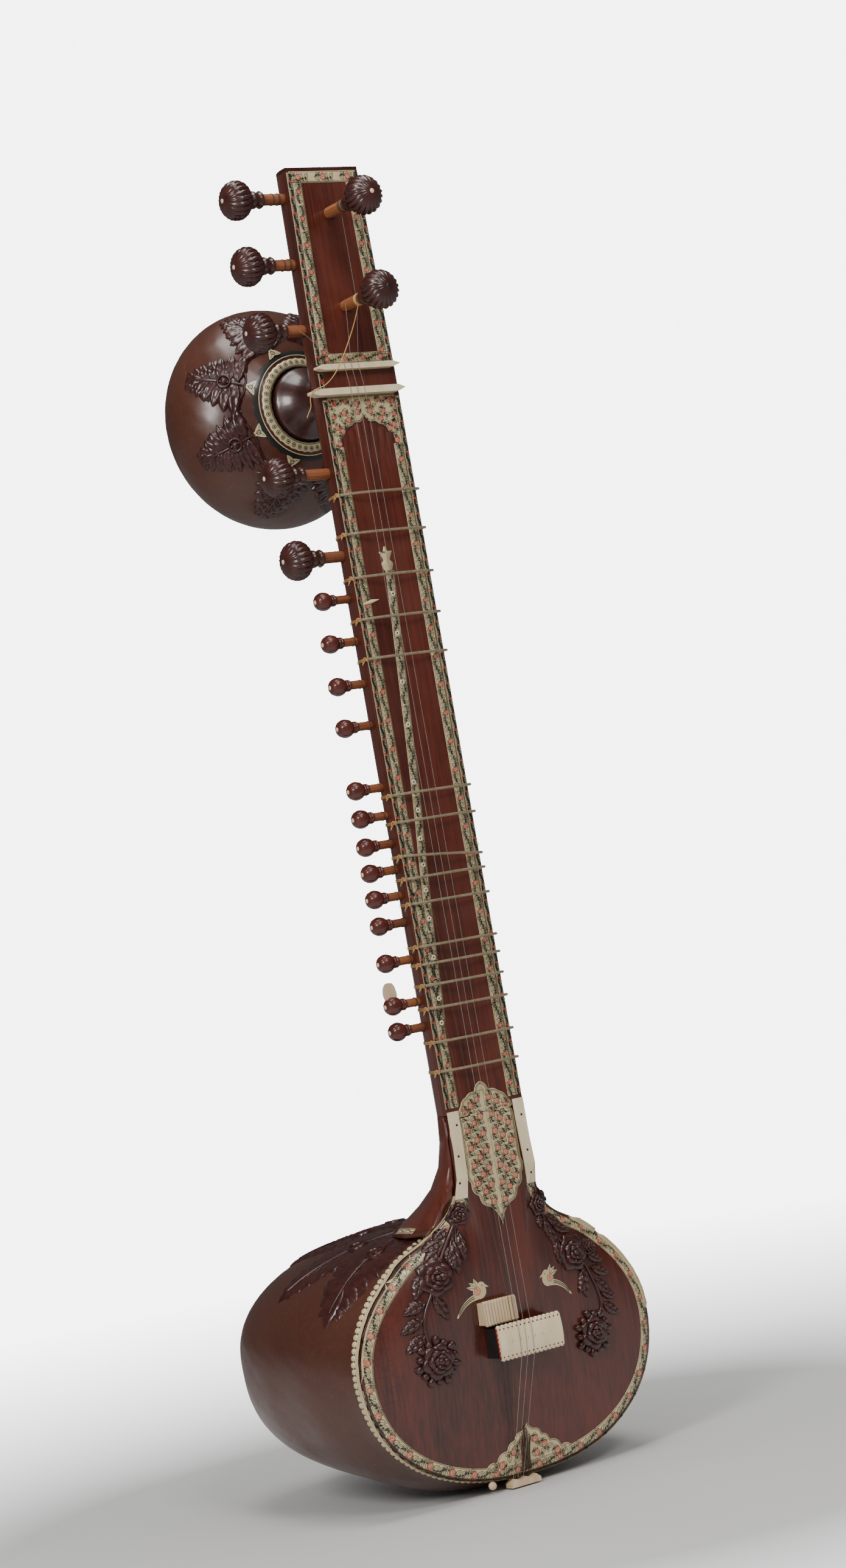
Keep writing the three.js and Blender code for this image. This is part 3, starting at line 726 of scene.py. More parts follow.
def row_tree():
    """Geometry nodes: an ornament repeated along a line, turned to follow it."""
    tree = bpy.data.node_groups.new("ornament row", "GeometryNodeTree")
    for label, kind in (("Line", "Geometry"), ("Ornament", "Object"), ("Pitch", "Float"),
                        ("Size change", "Float"), ("Seed", "Int"), ("Finish", "Material")):
        tree.interface.new_socket(label, in_out="INPUT", socket_type="NodeSocket" + kind)
    tree.interface.new_socket("Row", in_out="OUTPUT", socket_type="NodeSocketGeometry")
    start = tree.nodes.new("NodeGroupInput")
    end = tree.nodes.new("NodeGroupOutput")
    curve = join(tree, "GeometryNodeMeshToCurve", {"Mesh": start.outputs["Line"]})
    spaced = join(tree, "GeometryNodeResampleCurve", {"Curve": curve.outputs[0]}, mode="LENGTH")
    tree.links.new(start.outputs["Pitch"], find_input(spaced, "Length"))
    tangent = tree.nodes.new("GeometryNodeInputTangent")
    turn = join(tree, "FunctionNodeAlignRotationToVector", {"Vector": tangent.outputs[0]}, axis="X",
                pivot_axis="Y")
    least = join(tree, "ShaderNodeMath", {0: 1.0, 1: start.outputs["Size change"]}, operation="SUBTRACT")
    most = join(tree, "ShaderNodeMath", {0: 1.0, 1: start.outputs["Size change"]}, operation="ADD")
    size = join(tree, "FunctionNodeRandomValue",
                {2: least.outputs[0], 3: most.outputs[0], 8: start.outputs["Seed"]},
                data_type="FLOAT")
    shape = join(tree, "GeometryNodeObjectInfo", {"Object": start.outputs["Ornament"]})
    copies = join(tree, "GeometryNodeInstanceOnPoints", {
        "Points": spaced.outputs[0], "Instance": shape.outputs["Geometry"], "Rotation": turn.outputs[0],
        "Scale": size.outputs[1]})
    real = join(tree, "GeometryNodeRealizeInstances", {0: copies.outputs[0]})
    dressed = join(tree, "GeometryNodeSetMaterial",
                   {"Geometry": real.outputs[0], "Material": start.outputs["Finish"]})
    tree.links.new(dressed.outputs[0], end.inputs[0])
    return tree


ROW = row_tree()


def row(line, pitch, ornament, finish, seed=1, change=0.08):
    """The ornament repeated along a flat line, as a patch."""
    shape = bpy.data.meshes.new("ornament")
    shape.from_pydata([(a, -h, b) for a, b, h in ornament.points], [], ornament.faces)
    stamp = bpy.data.objects.new("ornament", shape)
    rail = bpy.data.meshes.new("line")
    rail.from_pydata([(a, 0.0, b) for a, b in line], [(i, i + 1) for i in range(len(line) - 1)], [])
    track = bpy.data.objects.new("line", rail)
    for thing in (stamp, track):
        bpy.context.scene.collection.objects.link(thing)
    modifier = track.modifiers.new("row", "NODES")
    modifier.node_group = ROW
    values = {"Ornament": stamp, "Pitch": float(pitch), "Size change": float(change), "Seed": seed,
              "Finish": finish}
    for item in ROW.interface.items_tree:
        if item.in_out == "INPUT" and item.name in values:
            modifier[item.identifier] = values[item.name]
    made = bpy.data.meshes.new_from_object(track.evaluated_get(bpy.context.evaluated_depsgraph_get()))
    patch = Patch()
    patch.points = [(v.co.x, v.co.z, -v.co.y) for v in made.vertices]
    patch.faces = [list(p.vertices) for p in made.polygons]
    for thing in (stamp, track):
        bpy.data.objects.remove(thing)
    return patch


class Inlay:
    """All the flat inlay of one body, gathered by material before it is laid."""

    def __init__(self):
        self.plates, self.vines, self.lines = Patch(), Patch(), Patch()
        self.roses, self.blush = Patch(), Patch()
        self.seed = 0

    def band(self, line, half, pitch, lift=0.0, roses=True, inset=0.7):
        """A cream strip along a line, edged with ink and filled with a vine and roses."""
        self.seed += 1
        count = max(3, int(line_length(line) / 6))
        line = resampled(line, count)
        self.plates.add(between(shifted(line, half), shifted(line, -half), 4, count), lift=lift)
        for side in (1, -1):
            self.lines.add(ribbon(shifted(line, side * (half - inset)), BORDER_INK), lift=lift + 0.12)
        self.fill(line, half - inset - 0.3, pitch, lift, roses)

    def fill(self, line, half, pitch, lift=0.0, roses=True):
        long = line_length(line)
        fine = resampled(line, max(4, int(long / 3)))
        trim = pitch / 2 / long
        first = resampled(fine, 200)
        inner = first[int(200 * trim):int(200 * (1 - trim))]
        if len(inner) < 2:
            inner = first[80:120]
        self.vines.add(row(inner, pitch, vine(pitch, half), INK, self.seed, 0.06), lift=lift + 0.14)
        if roses:
            self.blush.add(row(inner, pitch, disc(half * 0.5, 12), BLUSH, self.seed + 7, 0.1),
                           lift=lift + 0.18)
            self.roses.add(row(inner, pitch, rose(half * 0.66), ROSE, self.seed + 7, 0.1), lift=lift + 0.22)

    def lay(self, skin, lift):
        for name, patch, finish in (
            ("inlay_plates", self.plates, CREAM), ("inlay_lines", self.lines, LINE_INK),
            ("inlay_vines", self.vines, INK), ("inlay_rose_grounds", self.blush, BLUSH),
            ("inlay_roses", self.roses, ROSE),
        ):
            lay(name, patch, skin, finish, lift)


# ---------- what the inlay follows ----------
def neck_half(z):
    """Half width of the neck's face, which narrows along the pegbox."""
    share = max(0.0, (z - PEGBOX_FOOT) / (PEGBOX_TOP - PEGBOX_FOOT))
    return NECK_HALF * (1 + (PEGBOX_TAPER - 1) * share)


def board_outline():
    """The soundboard's edge from the foot of the neck, down the left side and up the right."""
    middle = 136.0
    reach = {}
    for vertex in frame["nodes"]["soundboard"].data.vertices:
        x, z = vertex.co.x / MM, vertex.co.z / MM
        away = math.hypot(x, z - middle)
        if away > 20:
            turn = round(math.atan2(x, middle - z), 3)
            reach[turn] = max(reach.get(turn, (0, 0)), (away, x, z))
    line = [(x, z) for _, (away, x, z) in sorted(reach.items()) if z < NECK_FOOT - 4 or abs(x) > 40]
    return resampled(curve_through(line, 4.0), 260)


def neck_inlay(inlay):
    """Bands up both sides of the neck, the slanted strip, and the frame of the pegbox."""
    low, high = NECK_FOOT + 6, 1001.0
    edge = NECK_HALF
    for side in (-1, 1):
        inlay.band([(side * (edge - 11), low), (side * (edge - 11), high)], 4.6, 27.0)
        inlay.band([(side * (edge - 2.9), low), (side * (edge - 2.9), 1047.0)], 2.5, 15.0, inset=0.5)
        inner = [(side * (neck_half(z) - 11), z) for z in (1081.0, 1130.0, 1180.0, 1230.0, 1262.0)]
        inlay.band(inner, 4.6, 25.0, roses=True)
        outer = [(side * (neck_half(z) - 3.2), z) for z in (1081.0, 1130.0, 1180.0, 1230.0, 1268.0)]
        inlay.band(outer, 2.6, 15.0, inset=0.5)
    inlay.band([(-NECK_HALF + 3.2, 1057.0), (-NECK_HALF + 3.2, 1073.0)], 2.6, 14.0, inset=0.5)
    inlay.band([(-38.0, 1263.5), (38.0, 1263.5)], 5.6, 19.0, lift=0.06)
    inlay.band([(-40.0, 1086.5), (40.0, 1086.5)], 4.6, 19.0, lift=0.06)
    strip = curve_through(STRIP, 8.0)
    inlay.band(strip, 4.7, 21.0, lift=0.1, roses=False)
    finial = [(x + 4.5, z) for x, z in ((0, 880), (2.5, 886), (-1, 890), (3.5, 899),
                                        (-1, 896), (-3.7, 903))]
    back = [(-x, z) for x, z in finial]
    inlay.plates.add(between([(x - 1.5, z) for x, z in back], [(x - 1.5, z) for x, z in finial], 2, 16),
                     lift=0.1)
    inlay.lines.add(ribbon([(0.0, 884.0), (0.0, 897.0)], 0.5), lift=0.24)


STRIP = [(-32, 448), (-30, 470), (-28, 509), (-25, 546), (-21, 597), (-16, 649), (-10, 731), (-4, 819),
         (0, 880)]
EYELETS = [(-1, 857), (-4, 819), (-8, 772), (-10, 731), (-15, 676), (-16, 649), (-19, 622), (-21, 597),
           (-23, 573), (-25, 546), (-28, 509), (-30, 470), (-32, 447)]


def arch_line(side):
    """Half of the cusped arch under the nut, from its point down to the straight leg."""
    cusps = [(0.0, 1031.0), (7.0, 1023.5), (15.5, 1021.0), (25.0, 1013.0), (30.5, 1006.0), (34.0, 992.0)]
    rise = scallops([cusps[0], cusps[1]], 0.14) + scallops(cusps[1:], -0.2)[1:]
    return [(side * x, z) for x, z in rise]


def arch_plate(inlay):
    """The floral plate between the nut and the arch."""
    for side in (-1, 1):
        inner = arch_line(side)
        outer = [(0.0, 1049.5), (side * 20, 1049.5), (side * 38.6, 1049.5), (side * 38.6, 1020.0),
                 (side * 38.6, 992.0)]
        left, right = (outer, inner) if side < 0 else (inner, outer)
        left, right = (left[::-1], right[::-1]) if side > 0 else (left, right)
        patch = between(left, right, 6, 44)
        inlay.plates.add(patch if side > 0 else turned_over(patch), lift=0.08)
        inlay.lines.add(ribbon(shifted(inner, side * -0.8), 0.5), lift=0.2)
        inlay.lines.add(ribbon(shifted(inner, side * 1.4), 0.4), lift=0.2)
        inlay.lines.add(ribbon([(side * 38.0, 1049.0), (side * 38.0, 992.0)], 0.4), lift=0.2)
        inlay.seed += 3
        for sweep, half, pitch in (
            ([(2, 1037), (14, 1030), (24, 1022), (36, 998)], 4.2, 13.0),
            ([(2, 1044), (16, 1038), (27, 1030), (36, 1014)], 4.2, 12.0),
            ([(14, 1045), (37, 1043)], 3.6, 11.0), ([(34, 1048), (35, 1024)], 3.6, 11.0),
        ):
            inlay.seed += 3
            inlay.fill([(side * x, float(z)) for x, z in sweep], half, pitch, 0.08)
    inlay.lines.add(ribbon([(-38.0, 1048.6), (38.0, 1048.6)], 0.4), lift=0.2)


def turned_over(patch):
    """Faces made to turn left if they turn right."""
    face = patch.faces[len(patch.faces) // 2]
    area = 0.0
    for i, j in zip(face, face[1:] + face[:1]):
        area += patch.points[i][0] * patch.points[j][1] - patch.points[j][0] * patch.points[i][1]
    if area < 0:
        patch.faces = [f[::-1] for f in patch.faces]
    return patch


def cartouche(inlay):
    """The long lobed plate over the joint of neck and soundboard."""
    top = scallops([(0.0, 386.0), (8.0, 377.0), (19.0, 373.5), (27.0, 366.0), (31.0, 354.0)], -0.16)
    foot = scallops([(31.0, 308.0), (29.0, 293.0), (22.0, 280.0), (12.0, 268.0)], -0.2)
    tail = scallops([(12.0, 268.0), (0.0, 248.5)], 0.12)
    half = resampled(top + foot + tail[1:], 90)
    mirrored = [(-x, z) for x, z in half]
    inlay.plates.add(turned_over(between(mirrored, half, 12, 90)), lift=0.05)
    for side in (-1, 1):
        edge = [(side * x, z) for x, z in half]
        inlay.lines.add(ribbon(shifted(edge, side * -1.2), 0.5), lift=0.18)
        inlay.lines.add(ribbon(shifted(edge, side * -2.4), 0.35), lift=0.18)
        inlay.lines.add(ribbon([(side * 2.4, 377.0), (side * 2.4, 262.0)], 0.4), lift=0.18)
        inlay.lines.add(ribbon([(side * 0.8, 380.0), (side * 0.8, 256.0)], 0.3), lift=0.18)
        inlay.seed += 5
        for x, top_z, foot_z in ((7.0, 377.0, 264.0), (15.0, 372.0, 275.0), (23.5, 367.0, 284.0)):
            inlay.seed += 5
            inlay.fill([(side * x, top_z), (side * x, 320.0), (side * x * 0.9, foot_z)], 4.8, 15.0, 0.05)


def board_inlay(inlay):
    """The band round the soundboard, wider at the foot, where it rises to a point."""
    outline = [p for p in board_outline() if p[1] < 288 or p[1] > 400]
    ring = shifted(outline, 6.6)
    inlay.band(ring, 6.0, 25.0)
    rise = [(0.0, 60.0), (7.0, 52.0), (16.0, 45.0), (25.0, 37.0), (38.0, 28.5), (50.0, 26.0)]
    top = scallops(rise[:2], 0.12) + scallops(rise[1:], -0.2)[1:]
    for side in (-1, 1):
        crest = [(side * x, z) for x, z in top]
        base = [(side * x, 17.0 + abs(x) * 0.02) for x, z in top]
        inlay.plates.add(turned_over(between(crest, base, 5, 40)), lift=0.1)
        inlay.lines.add(ribbon(shifted(crest, side * -1.0), 0.5), lift=0.25)
        inlay.seed += 2
        inlay.fill([(side * 3, 46.0), (side * 12, 38.0), (side * 24, 31.0)], 5.0, 13.0, 0.12)
        inlay.seed += 2
        inlay.fill([(side * 2, 30.0), (side * 14, 27.0), (side * 40, 24.0)], 5.0, 14.0, 0.12)
    return outline


def bird(inlay, at, side):
    """A small inlaid bird in flight, facing the middle."""
    x, z = at

    def put(target, line, lift, width=BORDER_INK):
        moved = [(x + side * a, z + b) for a, b in line]
        target.add(ribbon(moved, width), lift=lift)

    body = disc(7.2, 16, rise=0.3)
    inlay.plates.add(body, (x - side * 1.0, z), lift=0.1)
    inlay.plates.add(disc(4.6, 14), (x - side * 3.0, z + 4.5), lift=0.14)
    beak = [(-7, 4.5), (-11, 2.8)]
    put(inlay.plates, beak, 0.12, [3.0, 0.3])
    tail = curve_through([(2, -4), (10, -6), (18, -11), (26, -20)], 2.0)
    put(inlay.plates, tail, 0.1, [6.5 - 5.0 * k / (len(tail) - 1) for k in range(len(tail))])
    for tip in ((4, 13), (9, 10), (12, 6)):
        put(inlay.plates, [(1, 3), (tip[0] * 0.6, tip[1] * 0.6 + 1), tip], 0.13, [4.6, 4.0, 0.3])
        put(inlay.lines, [(1, 3), (tip[0] * 0.9, tip[1] * 0.9)], 0.3)
    for drop in (1.2, -0.6):
        put(inlay.vines, [(a, b + drop) for a, b in tail[2:-2]], 0.3, 0.7)
    inlay.blush.add(disc(3.4, 10), (x + side * 1.5, z + 0.5), lift=0.4)
    inlay.roses.add(rose(3.6), (x + side * 1.5, z + 0.5), lift=0.45)
    inlay.lines.add(disc(0.6, 6), (x - side * 4.2, z + 5.2), lift=0.3)


# ---------- carving ----------
def carved_leaf(length, half, rise, teeth=5, bend=0.0, rows=26, cols=12):
    """A leaf in relief: toothed edge, sunk midrib, raised veins, and edges that go down into the wood."""
    patch = Patch()
    for i in range(rows + 1):
        t = i / rows
        bite = (t * teeth) % 1.0
        wide = half * max(0.02, math.sin(math.pi * t ** 0.8)) ** 0.75 * (0.78 + 0.22 * (1 - bite))
        for j in range(-cols // 2, cols // 2 + 1):
            v = j / (cols / 2)
            a = length * t + 0.1 * length * abs(v) * (1 - t)
            b = wide * v + bend * length * t * t
            swell = math.sin(math.pi * min(1.0, t * 0.92 + 0.06)) ** 0.4
            vein = 0.16 * math.cos((t * teeth - abs(v) * 0.8) * math.tau)
            height = rise * swell * ((1 - abs(v) ** 3) * (0.8 + vein) - 0.4 * math.exp(-(v / 0.13) ** 2))
            patch.points.append((a, b, height - (1.2 if abs(v) > 0.99 or i in (0, rows) else 0.0)))
    patch.faces = between_rows(rows + 1, cols + 1)
    return patch


def petal(inner, outer, half, rise, base, curl, pointed=False):
    """A cupped petal reaching out along the first axis."""
    patch = Patch()
    rows = cols = 8
    for i in range(rows + 1):
        t = i / rows
        swell = (1 - t ** 2) ** 0.5 * (0.5 + t) if pointed else math.sin(math.pi * (0.12 + 0.82 * t)) ** 0.6
        wide = half * swell
        for j in range(cols + 1):
            v = j / (cols / 2) - 1
            drawn_in = 0.0 if pointed else (0.12 * v * v - 0.05 * (1 - abs(v))) * t
            a = inner + (outer - inner) * (t - drawn_in)
            cup = math.sin(t * math.pi * 0.8) * (1 - 0.45 * v * v)
            height = base + rise * (cup + curl * t * t * (0.4 + 0.6 * v * v))
            edge = i == rows or j in (0, cols)
            patch.points.append((a, wide * v, height - (base + rise * 0.5 if edge else 0.0)))
    patch.faces = between_rows(rows + 1, cols + 1)
    return patch


def carved_rose(radius, rise, starry=False):
    """An open flower: a ring of outer petals, a tighter ring above it, and a curled heart."""
    patch = Patch()
    tiers = [(0.25, 1.0, 6, 0.50, 0.0, 0.3), (0.14, 0.66, 5, 0.38, 0.35, 0.5),
             (0.05, 0.4, 4, 0.24, 0.6, 0.6)]
    if starry:
        for k in range(14):
            reach = radius * (1.0 if k % 2 else 0.88)
            spread = petal(radius * 0.5, reach, radius * 0.17, rise * 0.5, 0.4, 0.2, pointed=True)
            patch.add(spread, turn=k / 14 * math.tau)
        tiers = [(i * 0.72, o * 0.72, n, w * 0.72, b + 0.15, c) for i, o, n, w, b, c in tiers]
    for n, (inner, outer, count, half, base, curl) in enumerate(tiers):
        one = petal(radius * inner, radius * outer, radius * half, rise * 0.5, rise * base, curl)
        for k in range(count):
            patch.add(one, turn=(k + 0.37 * n) / count * math.tau)
    patch.add(disc(radius * 0.16, 12, rise=rise * 0.3, rings=3), lift=rise * 0.95)
    return patch


def carved_stem(line, radius):
    """A half round stem along a line, a little sunk."""
    patch = Patch()
    line = curve_through(line, 3.0)
    left = shifted(line, 1.0)
    turns = [-1.0, -0.8, -0.4, 0.0, 0.4, 0.8, 1.0]
    for (a, b), (la, lb) in zip(line, left):
        for v in turns:
            height = radius * 1.3 * math.sqrt(max(0.0, 1 - v * v)) - (0.8 if abs(v) > 0.99 else 0.0)
            patch.points.append((a - (la - a) * radius * v, b - (lb - b) * radius * v, height))
    wide = len(turns)
    for i in range(len(line) - 1):
        for j in range(wide - 1):
            start = i * wide + j
            patch.faces.append([start, start + 1, start + wide + 1, start + wide][::-1])
    return patch


def leaf_from(patch, base, tip, half, rise, teeth):
    a, b = tip[0] - base[0], tip[1] - base[1]
    patch.add(carved_leaf(math.hypot(a, b), half, rise, teeth), base, math.atan2(b, a))


def left_spray():
    """Flowers and leaves carved down the left of the soundboard."""
    patch = Patch()
    patch.add(carved_stem([(-45, 279), (-46, 267), (-55, 251), (-67, 234), (-80, 213)], 1.9))
    patch.add(carved_stem([(-80, 213), (-87, 199), (-95, 186), (-99, 173), (-98, 158), (-91, 138)], 1.9))
    patch.add(carved_stem([(-48, 262), (-50, 250), (-52, 240)], 1.3))
    for base, tip, half in (
        ((-56, 256), (-71, 247), 6.0), ((-63, 246), (-84, 239), 6.5), ((-68, 238), (-86, 229), 6.5),
        ((-48, 254), (-47, 223), 6.0), ((-55, 249), (-56, 211), 6.5), ((-62, 232), (-58, 216), 5.5),
        ((-91, 222), (-104, 197), 7.5), ((-93, 194), (-118, 186), 7.5), ((-86, 200), (-73, 172), 7.5),
        ((-98, 180), (-124, 169), 7.5), ((-99, 165), (-122, 150), 8.0), ((-92, 212), (-102, 207), 5.0),
        ((-70, 226), (-78, 236), 4.0), ((-58, 240), (-66, 226), 5.0),
    ):
        leaf_from(patch, base, tip, half, 4.2, 4)
    patch.add(carved_rose(11.5, 6.0), (-46, 267))
    patch.add(carved_rose(18.5, 8.0), (-80, 214), 0.4)
    patch.add(carved_rose(25.0, 8.5, True), (-91, 137), 0.2)
    return patch


def right_spray():
    """Flowers and leaves carved down the right of the soundboard."""
    patch = Patch()
    patch.add(carved_stem([(46, 276), (49, 258), (56, 238), (66, 222), (80, 206)], 1.9))
    patch.add(carved_stem([(80, 206), (90, 198), (98, 182), (105, 164), (106, 147), (96, 130)], 1.7))
    for base, tip, half in (
        ((54, 247), (75, 236), 6.5), ((60, 238), (84, 226), 7.0), ((52, 248), (54, 224), 5.5),
        ((56, 240), (60, 214), 6.0), ((62, 226), (61, 198), 6.0), ((68, 216), (69, 190), 6.0),
        ((92, 214), (112, 206), 6.5), ((98, 202), (118, 190), 6.5), ((100, 188), (123, 177), 6.5),
        ((103, 176), (120, 158), 7.0), ((107, 164), (127, 153), 6.5), ((107, 152), (129, 136), 6.5),
        ((88, 190), (89, 160), 7.5), ((94, 186), (80, 166), 5.5), ((46, 250), (44, 236), 4.5),
    ):
        leaf_from(patch, base, tip, half, 4.2, 4)
    patch.add(carved_rose(13.0, 6.0), (48, 260))
    patch.add(carved_rose(19.0, 8.0), (80, 206), 0.9)
    patch.add(carved_rose(7.5, 6.0), (106, 207), 0.2)
    patch.add(carved_rose(24.0, 8.5, True), (91, 126), 0.5)
    return patch


def acanthus(length, half, rise, fingers=7):
    """A long pointed leaf built of curved fingers that overlap from the tip to the base."""
    patch = Patch()
    for k in range(fingers):
        t = k / (fingers - 1)
        reach = half * (1.12 - 0.66 * t)
        lean = math.radians(84 - 56 * t)
        for side in (1, -1):
            wide = reach * 0.18 + length / fingers * 0.44
            finger = carved_leaf(reach, wide, rise * (1.0 - 0.3 * t), 3, 0.2 * side, 12, 8)
            patch.add(finger, (length * (0.1 + 0.72 * t), 0.0), side * lean, lift=-0.25 * t)
    patch.add(carved_leaf(length * 0.95, half * 0.9, rise * 0.6, fingers, 0.0, 24, 10),
              (length * 0.04, 0.0))
    patch.add(carved_leaf(length * 0.36, half * 0.24, rise * 0.9, 3, 0.0, 12, 6), (length * 0.66, 0.0))
    patch.add(carved_stem([(0.0, 0.0), (length * 0.45, 0.0), (length * 0.9, 0.0)], 1.6), lift=0.6)
    ring = [(length * 0.32 + half * 0.2 * math.cos(k / 14 * math.tau),
             half * 0.2 * math.sin(k / 14 * math.tau))
            for k in range(15)]
    patch.add(carved_stem(ring, 1.5), lift=rise * 0.55)
    patch.add(disc(half * 0.1, 10, rise=1.6, rings=2), (length * 0.32, 0.0), lift=rise * 0.8)
    return patch


def upper_gourd_carving(shell):
    """Eight leaves round the front of the upper gourd, joined by arcs at their feet."""
    points, faces = [], []
    leaf = acanthus(60.0, 30.0, 4.4, 7)
    arc = carved_stem([(-24, -15), (-17, -4), (-6, 1), (0, 0), (6, 1), (17, -4), (24, -15)][::-1], 1.8)
    for k in range(8):
        turn = math.radians(158 + 45 * k)
        out = Vector((math.cos(turn), 0.0, math.sin(turn)))
        start = Vector((0.0, 100.0, UPPER_AXIS)) + out * 69.0
        frames = march(shell, start, out, 62.0)
        gather(points, faces, wrap(leaf, shell, frames), leaf.faces)
        side = Vector((-out.z, 0.0, out.x))
        edge = Patch().add(arc, turn=math.pi / 2)
        places = []
        for a, b, h in edge.points:
            place, outward = shell.nearest(start + out * (a - 1.0) + side * b)
            places.append(tuple(place + outward * h))
        gather(points, faces, places, edge.faces)
    piece("upper_gourd_leaves", points, faces, CARVING, "upper_gourd")


def ring_patch(inner, outer, sides=120, teeth=0, bite=0.0):
    """A flat ring, its outer edge cut into teeth."""
    patch = Patch()
    for i in range(sides):
        t = i / sides * math.tau
        cut = bite * abs(math.sin(teeth * t / 2))
        for reach, height in ((inner, -0.4), (inner, 0.0), ((inner + outer) / 2, 0.0), (outer - cut, 0.0),
                              (outer - cut, -0.4)):
            patch.points.append((reach * math.cos(t), reach * math.sin(t), height))
    for i in range(sides):
        j = (i + 1) % sides
        for k in range(4):
            patch.faces.append([i * 5 + k, i * 5 + k + 1, j * 5 + k + 1, j * 5 + k])
    return patch


def floret():
    """A three pointed ivory flower with a ring at its heart."""
    outline = scallops([(9, 0), (2.6, 2.4), (-4.5, 7.8), (-3.0, 0.0), (-4.5, -7.8), (2.6, -2.4), (9, 0)],
                       0.06, 4)
    patch = Patch()
    patch.points = [(0.0, 0.0, 0.0)] + [(a, b, 0.0) for a, b in outline[:-1]]
    count = len(outline) - 1
    patch.faces = [[0, 1 + i, 1 + (i + 1) % count] for i in range(count)]
    return turned_over(patch)


def upper_gourd_inlay(shell, dish):
    """Ivory ring in the dish, thin line round it, and florets between the leaves."""
    at = (0.0, UPPER_AXIS)
    cream, ink = Patch(), Patch()
    cream.add(ring_patch(38.4, 47.4, 144, 40, 0.9), at, lift=0.6)
    ink.add(ring_patch(39.2, 39.7, 120), at, lift=0.8)
    for k in range(40):
        turn = k / 40 * math.tau
        place = (43.4 * math.cos(turn), UPPER_AXIS + 43.4 * math.sin(turn))
        circle = [(1.9 * math.cos(i / 10 * math.tau), 1.9 * math.sin(i / 10 * math.tau)) for i in range(11)]
        ink.add(ribbon(circle, 0.55), place, lift=0.8)
        ink.add(disc(0.9, 7), place, lift=0.85)
    lay("upper_ring", cream, dish, CREAM, 0.0, "upper_gourd")
    lay("upper_ring_ink", ink, dish, INK, 0.0, "upper_gourd")
    field = Patch().add(ring_patch(36.0, 70.0, 96), at)
    lay("upper_dark_field", field, shell, EBONY, 0.2, "upper_gourd")
    cream, ink = Patch(), Patch()
    cream.add(ring_patch(49.8, 50.6, 120))
    for k in range(8):
        turn = math.radians(158 + 45 * k)
        place = (59.0 * math.cos(turn), 59.0 * math.sin(turn))
        cream.add(floret(), place, turn)
        ink.add(ring_patch(1.6, 2.2, 16), place)
        ink.add(ribbon([(-3.5, 5.5), (0, 0), (6, 0)], 0.4), place, turn)
        ink.add(ribbon([(-3.5, -5.5), (0, 0)], 0.4), place, turn)
    for name, patch, finish, lift in (("upper_florets", cream, CREAM, 1.4),
                                      ("upper_floret_ink", ink, INK, 1.65)):
        lay(name, Patch().add(patch, at), shell, finish, lift, "upper_gourd")


def gourd_carving(shell):
    """Low leaves that spread from the heel over the shoulder of the large gourd."""
    points, faces = [], []
    leaf = acanthus(136.0, 46.0, 3.0, 9)
    starts = [(58, 84, 186), (50, 108, 152), (30, 135, 118), (0, 148, 90)]
    for x, depth, heading in starts:
        for side in ((-1, 1) if x else (1,)):
            turn = math.radians(heading)
            out = Vector((math.cos(turn) * side * -1 if x else 0.0, math.sin(turn), -0.25))
            frames = march(shell, (side * x, depth, 262.0), out, 136.0)
            gather(points, faces, wrap(leaf, shell, frames), leaf.faces)
    piece("gourd_leaves", points, faces, CARVING, "frame")


def rim_beads(outline, shell):
    """Pale scalloped edging on the gourd, just behind the soundboard."""
    line = resampled(outline, int(line_length(outline) / 6.4))
    points, faces = [], []
    bead = disc(3.0, 8, rise=1.3, rings=2)
    for i, (x, z) in enumerate(line[2:-2]):
        base, outward = shell.nearest((x * 1.01, 39.0, z))
        run = Vector((line[i + 3][0] - line[i + 1][0], 0.0, line[i + 3][1] - line[i + 1][1])).normalized()
        across = outward.cross(run)
        places = [tuple(base + run * a + across * b + outward * (h + 0.2)) for a, b, h in bead.points]
        gather(points, faces, places, bead.faces)
    piece("rim_edging", points, faces, CREAM, "frame")


# ---------- turned pegs ----------
MAIN_HEAD = [(5.6, 20.6), (7.9, 21.2), (8.6, 22.8), (7.4, 24.6), (7.2, 27.6), (8.4, 29.2), (8.6, 31.4),
             (7.6, 33.4), (9.5, 35.4), (13.0, 37.4), (16.4, 40.2), (18.6, 43.8), (19.4, 48.0),
             (18.9, 52.2), (17.0, 56.2), (14.0, 59.4), (10.0, 61.8), (6.0, 63.2), (2.4, 63.8)]
SMALL_HEAD_RINGS = [(4.2, 15.4), (5.4, 15.8), (5.8, 17.2), (5.1, 18.3), (5.8, 19.4), (5.2, 20.6),
                    (6.4, 21.8), (7.8, 23.6), (8.8, 26.2), (9.0, 28.8), (8.6, 31.4), (7.6, 33.8),
                    (5.8, 35.8), (3.4, 37.0), (1.8, 37.4)]


